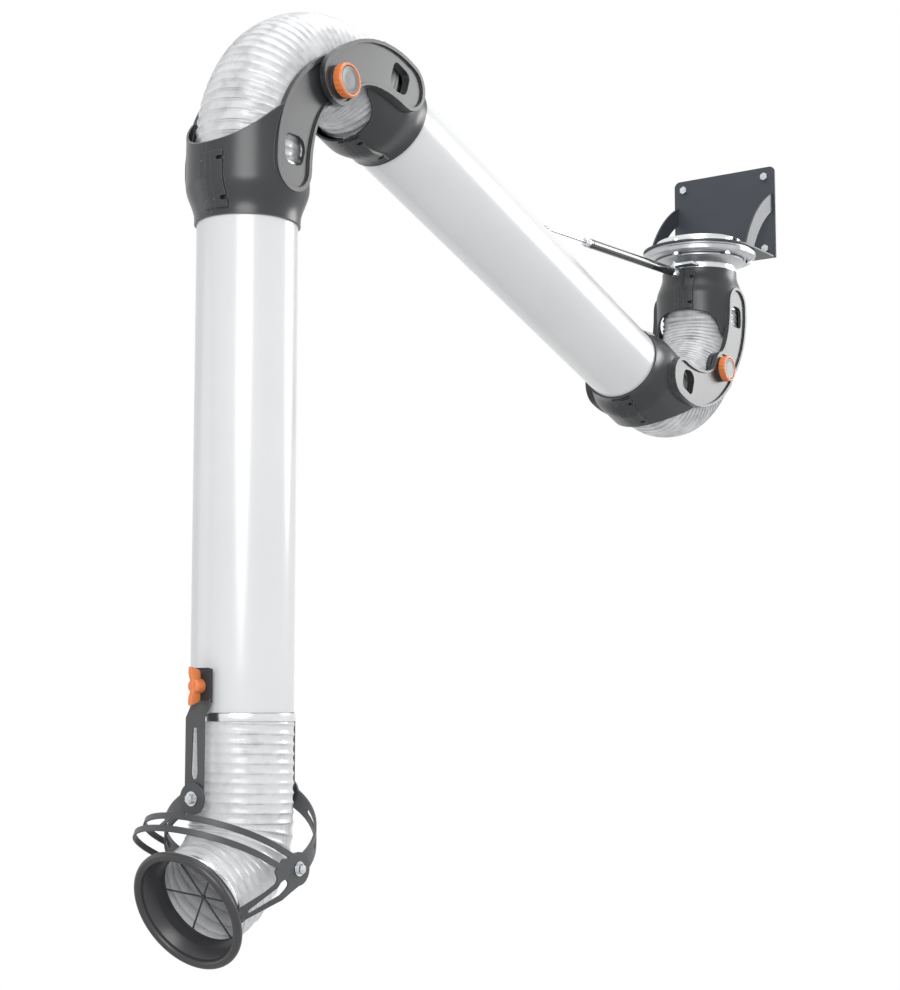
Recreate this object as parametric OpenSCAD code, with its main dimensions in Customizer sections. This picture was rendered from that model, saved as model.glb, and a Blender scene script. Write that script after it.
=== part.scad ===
// Wall-mounted two-link fume extraction arm with a swivel, two forked elbows and a gimballed hood.
// Origin: centre of the wall plate's back face. +X to the right, the arm reaches along -Y, +Z up.

/* [Duct] */
// Outer diameter of the two arm tubes
tube_d = 160; // [150:1:170]
// Wall of the arm tubes
tube_wall = 2; // [1.5:0.1:2.4]
// Length of upper tube that shows between its two forks
upper_len = 883; // [700:1:1100]
// Length of lower tube that shows below its fork
lower_len = 765; // [600:1:900]
// Height of the upper tube above level in the stored pose, in degrees
lift = 19.7; // [15:0.1:24]

/* [Forks] */
// Distance along the tube from a fork's rim to its pivot
fork_reach = 245; // [235:1:260]
// Distance from the tube's axis to the pivot
fork_offset = 104; // [100:1:108]
// Wall of a fork shell where it grips the tube
rim_wall = 4; // [3.5:0.1:4.5]
// How far the fork's body stands out past its rim
body_flare = 14; // [12:0.5:16]
// Wall of the fork's body
fork_wall = 3.5; // [3:0.1:4]
// Length of tube that the fork grips
grip_len = 46; // [40:1:50]
// Depth of the tube's end inside the fork
tube_in = 72; // [68:1:76]
// Thickness of a fork's side arm
arm_t = 10.5; // [9:0.5:11.5]
// Radius of the arm's round end at the pivot
pivot_end_r = 43; // [41:1:46]
// Radius of the arm's round end at the tube
tube_end_r = 42; // [39:1:45]
// Depth of the arm's recessed panel
recess_t = 4; // [3:0.5:5]
// Width of the raised rim round the panel
recess_rim = 7; // [6:0.5:9]
// Gap between the two shells of a fork
seam_gap = 1; // [0.6:0.1:1.4]
// Diameter of the pivot bolts
pivot_d = 16; // [14:0.5:18]
// Diameter of the friction discs between the fork arms
disc_d = 52; // [46:1:58]
// Thickness of the friction discs
disc_t = 1.8; // [1.4:0.1:2]

/* [Knobs] */
// Diameter of the pivot knobs
knob_d = 56; // [50:1:60]
// Height of the pivot knobs
knob_h = 15; // [13:0.5:17]
// Span of the hood's wing knobs
wing_span = 60; // [54:1:66]
// Height of the hood's wing knobs
wing_h = 24; // [20:0.5:27]

/* [Wall bracket] */
// Width of the wall plate
plate_w = 260; // [250:1:280]
// Height of the wall plate
plate_h = 217; // [205:1:240]
// Thickness of the bracket's plates
plate_t = 4; // [3:0.5:5]
// Corner radius of the wall plate
plate_r = 14; // [10:1:18]
// Distance from the wall to the swivel's axis
swivel_y = 137; // [134:1:150]
// Distance of the wall bolts in from the plate's sides
bolt_inset_x = 25.5; // [20:0.5:30]
// Distance of the wall bolts in from the plate's top and bottom
bolt_inset_z = 23; // [20:0.5:28]
// Diameter of the wall bolts
wall_bolt_d = 10; // [8:0.5:12]
// Length of the wall bolts behind the plate
wall_bolt_len = 45; // [30:1:70]
// Outer radius of the curved gussets
gusset_r = 306; // [300:1:312]
// Width of the curved gussets
gusset_w = 37; // [30:1:40]
// Distance of the gussets' centre of curvature from the wall
gusset_mid = 130; // [126:1:134]
// Drop of the gussets' centre of curvature below the shelf
gusset_drop = 122; // [118:1:126]
// Distance of the gussets in from the plate's sides
gusset_inset = 6; // [5:0.5:12]

/* [Swivel] */
// Outer diameter of the duct collar on the shelf
collar_d = 195; // [190:1:198]
// Height of the duct collar
collar_h = 19; // [15:1:24]
// Diameter of the duct that fits the collar
duct_d = 160; // [150:0.5:162]
// Outer diameter of the fixed flange
flange_d = 252; // [250:1:256]
// Thickness of the fixed flange
flange_t = 20; // [18:0.5:24]
// Height of the swivel's dish and neck collar below the flange
neck_h = 30; // [28:0.5:34]
// Bolt circle of the flange bolts
flange_pcd = 226; // [224:1:228]
// Number of flange bolts
flange_bolts_n = 6; // [4:1:8]

/* [Gas spring] */
// Distance from the swivel's axis to the spring's fixed pin
spring_pin_r = 116; // [112:1:120]
// Drop of the spring's fixed pin below the neck's rim
spring_pin_drop = 17.5; // [15:0.5:20]
// Distance along the upper tube from its lower rim to the spring's anchor
anchor_t = 362; // [345:1:380]
// Height of the anchor's pin above the tube
anchor_h = 31; // [28:1:33]
// Diameter of the spring's cylinder
spring_d = 20; // [18:0.5:23]
// Length of the spring's cylinder
spring_len = 380; // [350:1:400]
// Diameter of the spring's rod
rod_d = 5; // [4:0.5:7]

/* [Hood] */
// Distance from the lower tube's end down to the swing axis
swing_drop = 127; // [120:1:135]
// Distance from the swing axis down to the tilt axis
tilt_drop = 105; // [100:1:110]
// Radius from the hood's axis to the hanger straps
hanger_r = 104; // [102:0.5:106]
// Width of the hanger straps
hanger_w = 37; // [34:1:40]
// Thickness of the hood's sheet metal
sheet_t = 3; // [2.5:0.1:3.4]
// Gap between sheet parts that turn on each other
link_gap = 1.3; // [1.1:0.1:1.6]
// Outward tilt of the nozzle in the stored pose, in degrees
hood_tilt = 63.6; // [55:0.1:68]
// Distance from the tilt axis to the nozzle's mouth
nozzle_reach = 138; // [134:1:145]
// Outer diameter of the nozzle's rim
nozzle_rim_d = 197; // [192:1:202]
// Depth of the nozzle from its mouth to the hose's seat
nozzle_depth = 26; // [24:1:30]
// Angle between the nozzle's axis and the handle
handle_angle = 50.4; // [46:0.1:56]
// Straight run of the handle's upper strap
handle_leg = 62; // [56:1:68]
// Extra reach of the handle's lower strap
handle_flare = 13; // [10:1:18]
// Width of each handle strap
handle_strap = 9; // [8:0.5:10]
// Gap between the two handle straps
handle_gap = 15; // [12:0.5:18]

/* [Hoses] */
// Pitch of the hose's wire ribs
rib_pitch = 19.5; // [18:0.5:22]
// Height of the hose's ribs
rib_h = 2.3; // [2:0.1:2.5]
// Number of flat sides round the hoses
hose_sides = 18; // [12:2:20]

/* [Hidden] */
$fn = 64;

// Fits and small clearances
run_fit = 0.05;
seat_fit = 0.15;
bolt_neck = 0.5;
eps = 0.01;

// Colours
charcoal = [0.27, 0.28, 0.29];
slate = [0.27, 0.29, 0.33];
zinc = [0.72, 0.73, 0.74];
white_paint = [0.90, 0.91, 0.93];
film = [0.88, 0.89, 0.90];
orange = [0.93, 0.49, 0.20];
graphite = [0.45, 0.47, 0.50];
blackened = [0.10, 0.10, 0.11];

// Radii of the duct and the forks
tube_r = tube_d / 2;
rim_r = tube_r + rim_wall;
body_r = rim_r + body_flare;
arm_in = tube_r + 6;
disc_in = arm_in + arm_t;
arm_out = disc_in + disc_t + 0.2;
arm_end = arm_out + arm_t;
knob_in = arm_end + 0.5;
bolt_r = pivot_d / 2;
flare_z = 8;
flare_len = 52;
body_h = 186;
mouth_z = 98;
seam_h = 96;
head_t = 3.5;

// Wall bolts' spacing across, and up and down
bolt_x = plate_w - 2 * bolt_inset_x;
bolt_z = plate_h - 2 * bolt_inset_z;

// Heights of the bracket and the swivel
shelf_top = -plate_h / 2 + plate_t;
shelf_low = -plate_h / 2;
flange_low = shelf_low - flange_t;
neck_rim = flange_low - neck_h;

// Joint axes in the row frame
fold = 90 - lift;
shoulder_y = -swivel_y - fork_offset;
shoulder_z = neck_rim - fork_reach;
upper_span = upper_len + 2 * fork_reach;
elbow_y = shoulder_y - upper_span * cos(lift) - 2 * fork_offset * sin(lift);
elbow_z = shoulder_z + upper_span * sin(lift) - 2 * fork_offset * cos(lift);
lower_y = elbow_y - fork_offset;
lower_rim = elbow_z - fork_reach;
lower_end = lower_rim - lower_len;
swing_z = lower_end - swing_drop;
tilt_z = swing_z - tilt_drop;

// Hose radii and bends
facet = 1 / cos(180 / hose_sides);
hose_in = (tube_r + 0.3) * facet;
hose_root = hose_in + 1;
hose_crest = hose_root + rib_h;
hose_start = grip_len + 2;
hose_straight = 120;
bend_turn = 180 - fold;
bend_r = (fork_reach + fork_offset / tan(fold / 2) - hose_straight) * tan(fold / 2);
inner_rings = 14;

// Frames
module at_upper() {
    translate([0, shoulder_y, shoulder_z]) rotate([90 - lift, 0, 0])
        translate([0, -fork_offset, fork_reach]) children();
}
module at_neck() { translate([0, -swivel_y, neck_rim]) rotate([180, 0, 0]) children(); }
module at_shoulder() { at_upper() rotate([0, 180, 0]) children(); }
module at_elbow() { at_upper() translate([0, 0, upper_len]) rotate([0, 0, 180]) children(); }
module at_lower() { translate([0, lower_y, lower_rim]) children(); }
module at_hood() { translate([0, lower_y, tilt_z]) rotate([-hood_tilt, 0, 0]) children(); }
module side(s) { if (s > 0) children(); else mirror([1, 0, 0]) children(); }

// Along +X from x0 to x1
module rod_x(r, x0, x1) { translate([x0, 0, 0]) rotate([0, 90, 0]) cylinder(r = r, h = x1 - x0); }
module hex_x(af, x0, x1) {
    translate([x0, 0, 0]) rotate([0, 90, 0]) cylinder(r = af / sqrt(3), h = x1 - x0, $fn = 6);
}
module ring(r_in, r_out, z0, z1) {
    translate([0, 0, z0]) difference() {
        cylinder(r = r_out, h = z1 - z0);
        translate([0, 0, -1]) cylinder(r = r_in, h = z1 - z0 + 2);
    }
}

// Forks
function ease(t) = let(u = max(0, min(1, t))) u * u * (3 - 2 * u);
function flare(z) = rim_r + body_flare * ease((z - flare_z) / flare_len);
function mix(a, b, t) = a + (b - a) * t;
function bezier(a, b, c, d, t) =
    pow(1 - t, 3) * a + 3 * pow(1 - t, 2) * t * b + 3 * (1 - t) * t * t * c + t * t * t * d;

flare_steps = [for (i = [0:8]) mix(flare_z, flare_z + flare_len, i / 8)];
module fork_section(grow) {
    polygon(concat(
        [[tube_r + seat_fit, 0], [rim_r + grow, 0]],
        [for (z = flare_steps) [flare(z) + grow, z]],
        [[body_r + grow, body_h], [body_r - fork_wall, body_h]],
        [[body_r - fork_wall, grip_len + 10], [tube_r + seat_fit, grip_len]]));
}

// Side view of the fork: Y towards the pivot, Z from the rim towards the pivot
function arm_edge(k) = let(
    e = tube_end_r - k, p = pivot_end_r - k, px = fork_offset - 1, pz = fork_reach + 5,
    top = [px + p * cos(118), pz + p * sin(118)], low = [px, pz - p])
    concat(
        [for (a = [180:15:360]) [e * cos(a), 84 + e * sin(a)]],
        [for (i = [1:10]) bezier([e, 84], [e, 140], [px - 38, low[1]], low, i / 10)],
        [for (a = [-75:13.5:114]) [px + p * cos(a), pz + p * sin(a)]],
        [for (i = [0:11]) bezier(top, top - 93 * [sin(62), cos(62)], [-e - 4, pz - 80], [-e, 84], i / 12)]);
// The outer pair of forks is cut lower at the back than the inner pair
module fork_side(outer) {
    far = body_r + 12;
    cut = outer ? 5 : -2;
    polygon([[-far, -1], [far, -1], [far, mouth_z], [body_r - 6, mouth_z + 2], [76, 108], [66, 120],
        [59, 136], [56, 150], [50, 160], [-6, body_h + 1], [-22, 178 - cut], [-36, 167 - cut], [-50, 154 - cut],
        [-64, 140 - cut], [-80, 125 - cut], [-91, 116 - cut], [-body_r, 111 - cut], [-far, 110 - cut]]);
}
module window_outline() {
    polygon([[-20, 99], [-18, 92], [-11, 87], [9, 86], [19, 89], [24, 96], [29, 113], [28, 122], [23, 130], [13, 134],
        [-10, 134], [-17, 131], [-20, 125]]);
}
module prism_x(x0, x1) {
    translate([x0, 0, 0]) rotate([90, 0, 90]) linear_extrude(height = x1 - x0) children();
}

// Screws cross the seam through a lip on each shell, two in front and two behind, and their heads
// sit in the right shell's ridge
screw_r = 1.6;
screw_head_r = 3.4;
screw_z = [24, 84];
lip_h = 2.5;
lip_w = 13;
ridge_h = 5;
ridge_x = 11;
ridge_w = 20;
head_x = ridge_x + ridge_w / 2 - 1;
module screw_spots() {
    for (s = [-1, 1]) for (z = screw_z) translate([0, s * (flare(z) + 0.2), z]) children();
}
module fork_screws() {
    screw_spots() { rod_x(screw_r, -lip_w + 3, head_x); rod_x(screw_head_r, head_x, head_x + 3); }
}
// A strip of the shell beside the seam, front and back, that stands out by h
module seam_strip(x0, x1, h) {
    intersection() {
        rotate_extrude() fork_section(h);
        union() for (d = [-1, 1]) translate([x0, d * body_r - 30, 10]) cube([x1 - x0, 60, seam_h - 10]);
    }
}

// One shell of a fork. The inner pair of arms runs inside the outer pair.
module fork_shell(s, outer, heads) {
    x0 = outer ? arm_out : arm_in;
    x1 = x0 + arm_t;
    root = outer ? arm_in + 4 : arm_in;
    side(s) difference() {
        union() {
            intersection() {
                rotate_extrude() fork_section(0);
                prism_x(seam_gap / 2, body_r + 1) fork_side(outer);
            }
            seam_strip(seam_gap / 2, lip_w, lip_h);
            if (heads) seam_strip(ridge_x, ridge_x + ridge_w, ridge_h);
            prism_x(x0, x1) polygon(arm_edge(0));
            prism_x(root, x1) intersection() {
                polygon(arm_edge(0));
                translate([-100, 0]) square([200, body_h]);
            }
        }
        prism_x(x1 - recess_t, x1 + 20) difference() {
            polygon(arm_edge(recess_rim));
            translate([fork_offset, fork_reach]) circle(r = disc_d / 2 + 1);
        }
        translate([0, 0, grip_len]) cylinder(r = fork_clamp_r + band_t + 0.4, h = 70);
        prism_x(arm_in - 20, x1 + 20) window_outline();
        translate([0, fork_offset, fork_reach]) rod_x(bolt_r + run_fit, x0 - 1, x1 + 1);
        cylinder(r = tube_r + seat_fit, h = hose_start);
        screw_spots() {
            rod_x(screw_r + seat_fit, -1, heads ? head_x + 1 : lip_w + 20);
            if (heads) rod_x(screw_head_r + 0.3, head_x, ridge_x + ridge_w + 20);
        }
    }
}
module neck_fork_left() { color(charcoal) at_neck() fork_shell(-1, false, false); }
module neck_fork_right() { color(charcoal) at_neck() fork_shell(1, false, true); }
module shoulder_fork_left() { color(charcoal) at_shoulder() fork_shell(1, true, false); }
module shoulder_fork_right() { color(charcoal) at_shoulder() fork_shell(-1, true, true); }
module elbow_fork_left() { color(charcoal) at_elbow() fork_shell(1, true, false); }
module elbow_fork_right() { color(charcoal) at_elbow() fork_shell(-1, true, true); }
module lower_fork_left() { color(charcoal) at_lower() fork_shell(-1, false, false); }
module lower_fork_right() { color(charcoal) at_lower() fork_shell(1, false, true); }
module neck_fork_screws() { color(blackened) at_neck() fork_screws(); }
module upper_fork_screws() {
    color(blackened) { at_shoulder() mirror([1, 0, 0]) fork_screws(); at_elbow() mirror([1, 0, 0]) fork_screws(); }
}
module lower_fork_screws() { color(blackened) at_lower() fork_screws(); }

// Pivots: bolt, friction disc, knob and cap on each side
module at_pivots() {
    for (z = [0, 1], s = [-1, 1])
        translate(z == 0 ? [0, shoulder_y, shoulder_z] : [0, elbow_y, elbow_z]) side(s) children();
}
module pivot_bolts() {
    color(zinc) at_pivots() {
        rod_x(bolt_r + 3, arm_in - head_t - 0.3, arm_in - 0.3);
        rod_x(bolt_r, arm_in - 1, knob_in + knob_h - 5);
    }
}
module friction_discs() {
    color(graphite) at_pivots() difference() {
        rod_x(disc_d / 2, disc_in + 0.1, disc_in + 0.1 + disc_t);
        rod_x(bolt_r + seat_fit, disc_in - 1, arm_out + 1);
    }
}
flute_n = 20;
module knob() {
    color(orange) difference() {
        union() {
            rod_x(knob_d / 2 - 1, knob_in, knob_in + knob_h);
            rod_x(knob_d / 2, knob_in + 1.5, knob_in + knob_h - 2);
        }
        rod_x(bolt_r + run_fit, knob_in - 1, knob_in + knob_h - 4);
        rod_x(knob_d / 2 - 5, knob_in + knob_h - 4.5, knob_in + knob_h + 1);
        for (i = [1:flute_n]) rotate([i * 360 / flute_n, 0, 0])
            translate([0, knob_d / 2 + 1.4, 0]) rod_x(2.2, knob_in + 1, knob_in + knob_h - 3);
    }
}
module knob_cap() {
    color(graphite) rod_x(knob_d / 2 - 5.2, knob_in + knob_h - 4.4, knob_in + knob_h - 1);
}
module at_shoulder_pivot(s) { translate([0, shoulder_y, shoulder_z]) side(s) children(); }
module at_elbow_pivot(s) { translate([0, elbow_y, elbow_z]) side(s) children(); }
module shoulder_knob_left() { at_shoulder_pivot(-1) knob(); }
module shoulder_knob_right() { at_shoulder_pivot(1) knob(); }
module elbow_knob_left() { at_elbow_pivot(-1) knob(); }
module elbow_knob_right() { at_elbow_pivot(1) knob(); }
module shoulder_cap_left() { at_shoulder_pivot(-1) knob_cap(); }
module shoulder_cap_right() { at_shoulder_pivot(1) knob_cap(); }
module elbow_cap_left() { at_elbow_pivot(-1) knob_cap(); }
module elbow_cap_right() { at_elbow_pivot(1) knob_cap(); }

// Tubes
module upper_tube() {
    color(white_paint) at_upper() ring(tube_r - tube_wall, tube_r, -tube_in, upper_len + tube_in);
}
module lower_tube() {
    color(white_paint) at_lower() difference() {
        ring(tube_r - tube_wall, tube_r, -lower_len, tube_in);
        translate([0, 0, stud_z - lower_rim]) rotate([90, 0, 0])
            cylinder(r = stud_r + seat_fit, h = 3 * tube_r, center = true);
    }
}

// Hose clamps: a band and its worm housing
band_t = 1;
band_w = 12;
housing = [16, 9];
module hose_clamp(r, z, w = band_w) {
    color(zinc) difference() {
        union() {
            ring(r, r + band_t, z, z + w);
            translate([-housing[0] / 2, r + band_t - 2, z]) cube([housing[0], housing[1], w - 1]);
        }
        cylinder(r = r, h = 4 * body_h, center = true);
    }
}
fork_clamp_z = grip_len + 34;
fork_clamp_r = hose_crest + 0.2;
module neck_hose_clamp() { at_neck() hose_clamp(fork_clamp_r, fork_clamp_z); }
module upper_hose_clamps() {
    at_shoulder() hose_clamp(fork_clamp_r, fork_clamp_z);
    at_elbow() hose_clamp(fork_clamp_r, fork_clamp_z);
}
module lower_hose_clamp() { at_lower() hose_clamp(fork_clamp_r, fork_clamp_z); }

// Wall bracket
module wall_plate() {
    color(slate) translate([0, 0, 0]) rotate([90, 0, 0]) difference() {
        linear_extrude(height = plate_t) union() {
            square([plate_w, plate_h - 2 * plate_r], center = true);
            square([plate_w - 2 * plate_r, plate_h], center = true);
            translate([0, -plate_r]) square([plate_w, plate_h - 2 * plate_r], center = true);
            for (s = [-1, 1]) translate([s * (plate_w / 2 - plate_r), plate_h / 2 - plate_r])
                circle(r = plate_r);
        }
        for (s = [-1, 1], d = [-1, 1]) translate([s * bolt_x / 2, d * bolt_z / 2, -1])
            cylinder(r = wall_bolt_d / 2 + bolt_neck + seat_fit, h = plate_t + 2);
    }
}
shelf_r = plate_w / 2 - 3;
module bracket_shelf() {
    color(slate) translate([0, 0, shelf_low]) difference() {
        union() {
            translate([-shelf_r, -swivel_y, 0]) cube([2 * shelf_r, swivel_y - plate_t, plate_t]);
            translate([0, -swivel_y, 0]) cylinder(r = shelf_r, h = plate_t);
        }
        translate([0, -swivel_y, -1]) {
            cylinder(r = duct_d / 2 + 6, h = plate_t + 2);
            flange_spots() cylinder(r = flange_bolt_r + seat_fit, h = plate_t + 2);
        }
    }
}
gusset_x = plate_w / 2 - plate_t - gusset_inset;
module bracket_gussets() {
    color(slate) for (s = [-1, 1]) side(s)
        prism_x(gusset_x, gusset_x + plate_t) intersection() {
            translate([gusset_mid, shelf_low - gusset_drop]) difference() {
                circle(r = gusset_r, $fn = 180);
                circle(r = gusset_r - gusset_w, $fn = 180);
            }
            translate([-gusset_r, shelf_top]) square([gusset_r - plate_t, gusset_r]);
        }
}
module wall_bolts() {
    color(zinc) for (s = [-1, 1], d = [-1, 1]) translate([s * bolt_x / 2, 0, d * bolt_z / 2])
        rotate([0, 0, -90]) {
            rod_x(wall_bolt_d / 2, -wall_bolt_len, plate_t + 1);
            rod_x(wall_bolt_d / 2 + bolt_neck, 0, plate_t + 1);
            hex_x(1.6 * wall_bolt_d, plate_t, plate_t + 0.65 * wall_bolt_d);
        }
}

// Swivel: the neck's top ring turns on a slide ring inside the fixed flange
flange_bolt_r = 4;
lip_t = 6;
lip_r = tube_r + 5;
pocket_r = tube_r + 20;
ring_t = 4.5;
module flange_spots() {
    for (i = [0:flange_bolts_n - 1]) rotate([0, 0, (i + 0.5) * 360 / flange_bolts_n])
        translate([flange_pcd / 2, 0, 0]) children();
}
module duct_collar() {
    color(zinc) translate([0, -swivel_y, shelf_top]) rotate_extrude() polygon([
        [duct_d / 2 + 0.25, 0], [collar_d / 2, 0], [collar_d / 2, collar_h - 2],
        [collar_d / 2 - 2, collar_h], [duct_d / 2 + 0.25, collar_h]]);
}
module fixed_flange() {
    fr = flange_d / 2;
    color(zinc) translate([0, -swivel_y, flange_low]) difference() {
        union() {
            rotate_extrude() polygon([[lip_r + run_fit, 0], [fr - 4, 0], [fr, 4], [fr, flange_t - 7],
                [fr - 3, flange_t - 5], [fr - 3, flange_t], [pocket_r, flange_t], [pocket_r, lip_t],
                [lip_r + run_fit, lip_t]]);
            intersection() {
                ring(fr - 10, fr + 3, 2, flange_t - 7);
                for (i = [0:2]) rotate([0, 0, 120 * i]) translate([0, -44, 0]) cube([fr + 5, 88, flange_t]);
            }
        }
        flange_spots() translate([0, 0, -1]) cylinder(r = flange_bolt_r + seat_fit, h = flange_t + 2);
    }
}
module flange_bolts() {
    color(zinc) translate([0, -swivel_y, 0]) flange_spots() {
        translate([0, 0, flange_low - 6]) cylinder(r = 7.5, h = 6, $fn = 6);
        translate([0, 0, flange_low - 3]) cylinder(r = flange_bolt_r, h = flange_t + plate_t + 10);
        translate([0, 0, shelf_top]) cylinder(r = 7.5, h = 6.5, $fn = 6);
    }
}
bearing_low = flange_low + lip_t;
bearing_t = flange_t - lip_t - ring_t - 3;
module swivel_bearing() {
    color(white_paint) translate([0, -swivel_y, 0])
        ring(lip_r + 0.2, pocket_r - 0.2, bearing_low, bearing_low + bearing_t);
}
dish_r = pocket_r + 2;
collar_z = 12;
module swivel_neck() {
    bore = tube_r - tube_wall;
    top = bearing_low + bearing_t + 0.1;
    dish = flange_low - 1;
    color(zinc) translate([0, -swivel_y, 0]) rotate_extrude() polygon([
        [bore, neck_rim - tube_in], [tube_r, neck_rim - tube_in], [tube_r, neck_rim + collar_z],
        [tube_r + 3, neck_rim + collar_z], [dish_r, dish - 4], [dish_r, dish], [lip_r, dish], [lip_r, top],
        [pocket_r - 2, top], [pocket_r - 2, top + ring_t], [bore, top + ring_t]]);
}
module neck_collar() {
    color(zinc) translate([0, -swivel_y, neck_rim])
        ring(tube_r + run_fit, tube_r + 3, 0.1, collar_z - 0.1);
}

// Gas spring
pin_y = -swivel_y - spring_pin_r;
pin_z = neck_rim - spring_pin_drop;
pin_r = 4;
tab_t = 5;
anchor_n = tube_r + anchor_h;
anchor_y = shoulder_y - (anchor_t + fork_reach) * cos(lift) + (anchor_n - fork_offset) * sin(lift);
anchor_z = shoulder_z + (anchor_t + fork_reach) * sin(lift) + (anchor_n - fork_offset) * cos(lift);
spring_reach = norm([anchor_y - pin_y, anchor_z - pin_z]);
spring_dip = atan2(pin_z - anchor_z, pin_y - anchor_y);
module at_spring() { translate([0, pin_y, pin_z]) rotate([90 + spring_dip, 0, 0]) children(); }
module spring_lug() {
    back = tube_r + 3;
    bar_t = 6;
    bar_end = 10;
    bar_x = 38;
    bar_y = 60;
    color(zinc) translate([0, -swivel_y, neck_rim]) difference() {
        union() {
            difference() {
                union() {
                    translate([-14, -spring_pin_r + 8, 1]) cube([bar_x + 14, spring_pin_r - 20, bar_t]);
                    translate([bar_x, -bar_y, 1]) cylinder(r = bar_end, h = bar_t);
                }
                cylinder(r = back + 0.1, h = 40, center = true);
            }
            translate([-tab_t / 2, -spring_pin_r - 9, -spring_pin_drop - 9]) cube([tab_t, 24, spring_pin_drop + 16]);
        }
        translate([0, -spring_pin_r, -spring_pin_drop]) rod_x(pin_r + run_fit, -10, 10);
    }
}
ear_t = 3;
clevis_x = tab_t / 2 + 0.4;
spring_start = 20;
cylinder_end = 8;
module spring_cylinder() {
    ear = 8;
    color(blackened) at_spring() difference() {
        union() {
            translate([0, 0, spring_start]) cylinder(r = spring_d / 2, h = spring_len);
            for (s = [-1, 1]) side(s) translate([clevis_x, -ear, -ear])
                cube([ear_t, 2 * ear, spring_start + ear + 2]);
            translate([-clevis_x - ear_t, -ear, spring_start - 6]) cube([2 * (clevis_x + ear_t), 2 * ear, 8]);
            rod_x(pin_r, -clevis_x - 1, clevis_x + 1);
        }
        translate([0, 0, spring_start + cylinder_end]) cylinder(r = bore_r, h = spring_len - 2 * cylinder_end);
        translate([0, 0, spring_start + spring_len - cylinder_end - 2])
            cylinder(r = rod_d / 2 + run_fit, h = cylinder_end + 4);
    }
}
bore_r = spring_d / 2 - 2.5;
rod_inside = 200;
rod_low = spring_start + spring_len - rod_inside;
eye_r = 5.5;
module spring_rod() {
    color(zinc) at_spring() difference() {
        union() {
            translate([0, 0, rod_low]) cylinder(r = rod_d / 2, h = spring_reach - rod_low);
            translate([0, 0, rod_low - 8]) cylinder(r = bore_r - run_fit, h = 10);
            translate([0, 0, spring_reach]) rod_x(eye_r, -3.9, 3.9);
        }
        translate([0, 0, spring_reach]) rod_x(2.6, -8, 8);
    }
}
module spring_anchor() {
    inner = 6;
    color(zinc) at_upper() translate([0, 0, anchor_t]) {
        union() {
            intersection() {
                ring(tube_r + 0.05, tube_r + 3, -18, 18);
                translate([-26, tube_r - 12, -18]) cube([52, 20, 36]);
            }
            for (s = [-1, 1]) side(s) difference() {
                union() {
                    prism_x(inner, inner + ear_t) polygon([[tube_r, -12], [anchor_n + 3, -5], [anchor_n + 5.5, -2],
                        [anchor_n + 5.5, 2], [anchor_n + 3, 5], [tube_r, 12]]);
                    translate([0, anchor_n, 0]) rod_x(2.5, inner - 1.9, inner + ear_t + 1);
                    translate([0, anchor_n, 0]) rod_x(4.5, inner + ear_t - 0.1, inner + ear_t + 3);
                }
                cylinder(r = tube_r + 0.05, h = 100, center = true);
            }
        }
    }
}

// Hood hangers: a strap clamped on each side of the lower tube's end
stud_rise = 40;
stud_z = lower_end + stud_rise;
stud_r = 4;
pad_t = 3;
strap_in = tube_r + 12;
strap_top = 67;
strap_step = 12;
slot_w = 13;
module hanger() {
    o = hanger_r;
    difference() {
        intersection() {
            prism_x(-hanger_w / 2, hanger_w / 2) polygon([[strap_in, strap_top], [strap_in, strap_step],
                [o, -8], [o, -swing_drop - 24], [o + sheet_t, -swing_drop - 24], [o + sheet_t, -7],
                [strap_in + sheet_t, strap_step + 1], [strap_in + sheet_t, strap_top]]);
            rotate([-90, 0, 0]) linear_extrude(height = 200) union() {
                translate([-hanger_w / 2, 8 - strap_top]) square([hanger_w, strap_top - 8 + swing_drop]);
                translate([8 - hanger_w / 2, -strap_top]) square([hanger_w - 16, 20]);
                for (s = [-1, 1]) translate([s * (hanger_w / 2 - 8), 8 - strap_top]) circle(r = 8);
                translate([0, swing_drop]) circle(r = hanger_w / 2);
            }
        }
        rotate([-90, 0, 0]) {
            translate([0, swing_drop, 0]) cylinder(r = link_pin_r + run_fit, h = 200);
            translate([0, -stud_rise, 0]) cylinder(r = stud_r + seat_fit, h = 200);
            linear_extrude(height = 200) polygon([[-4, 22], [4, 22], [6.5, 90], [4, 98], [-4, 98], [-6.5, 90]]);
        }
    }
}
module hanger_pad() {
    difference() {
        union() {
            translate([0, strap_in - pad_t, 0]) rotate([-90, 0, 0]) linear_extrude(height = pad_t - 0.1)
                translate([-hanger_w / 2, 1 - strap_top]) square([hanger_w, strap_top - strap_step - 4]);
            translate([0, tube_r - 4, stud_rise]) rotate([-90, 0, 0]) cylinder(r = 8, h = strap_in - tube_r + 3);
        }
        cylinder(r = tube_r + 0.1, h = 300, center = true);
        translate([0, 0, stud_rise]) rotate([-90, 0, 0]) cylinder(r = stud_r + seat_fit, h = 200);
    }
}
module at_tube_end(front) { translate([0, lower_y, lower_end]) rotate([0, 0, front ? 180 : 0]) children(); }
module hanger_front() { color(slate) at_tube_end(true) hanger(); }
module hanger_rear() { color(slate) at_tube_end(false) hanger(); }
module hanger_pads() { color(blackened) for (f = [true, false]) at_tube_end(f) hanger_pad(); }
knob_seat = strap_in + sheet_t + 0.4;
module hanger_studs() {
    color(zinc) for (f = [true, false]) at_tube_end(f) translate([0, 0, stud_rise]) rotate([0, 0, 90]) {
        rod_x(stud_r, tube_r - tube_wall - 1, knob_seat + wing_h - 10);
        rod_x(stud_r + 3, tube_r - tube_wall - 5, tube_r - tube_wall - 0.9);
    }
}
wing_hub = 11;
wing_t = 7;
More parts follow.
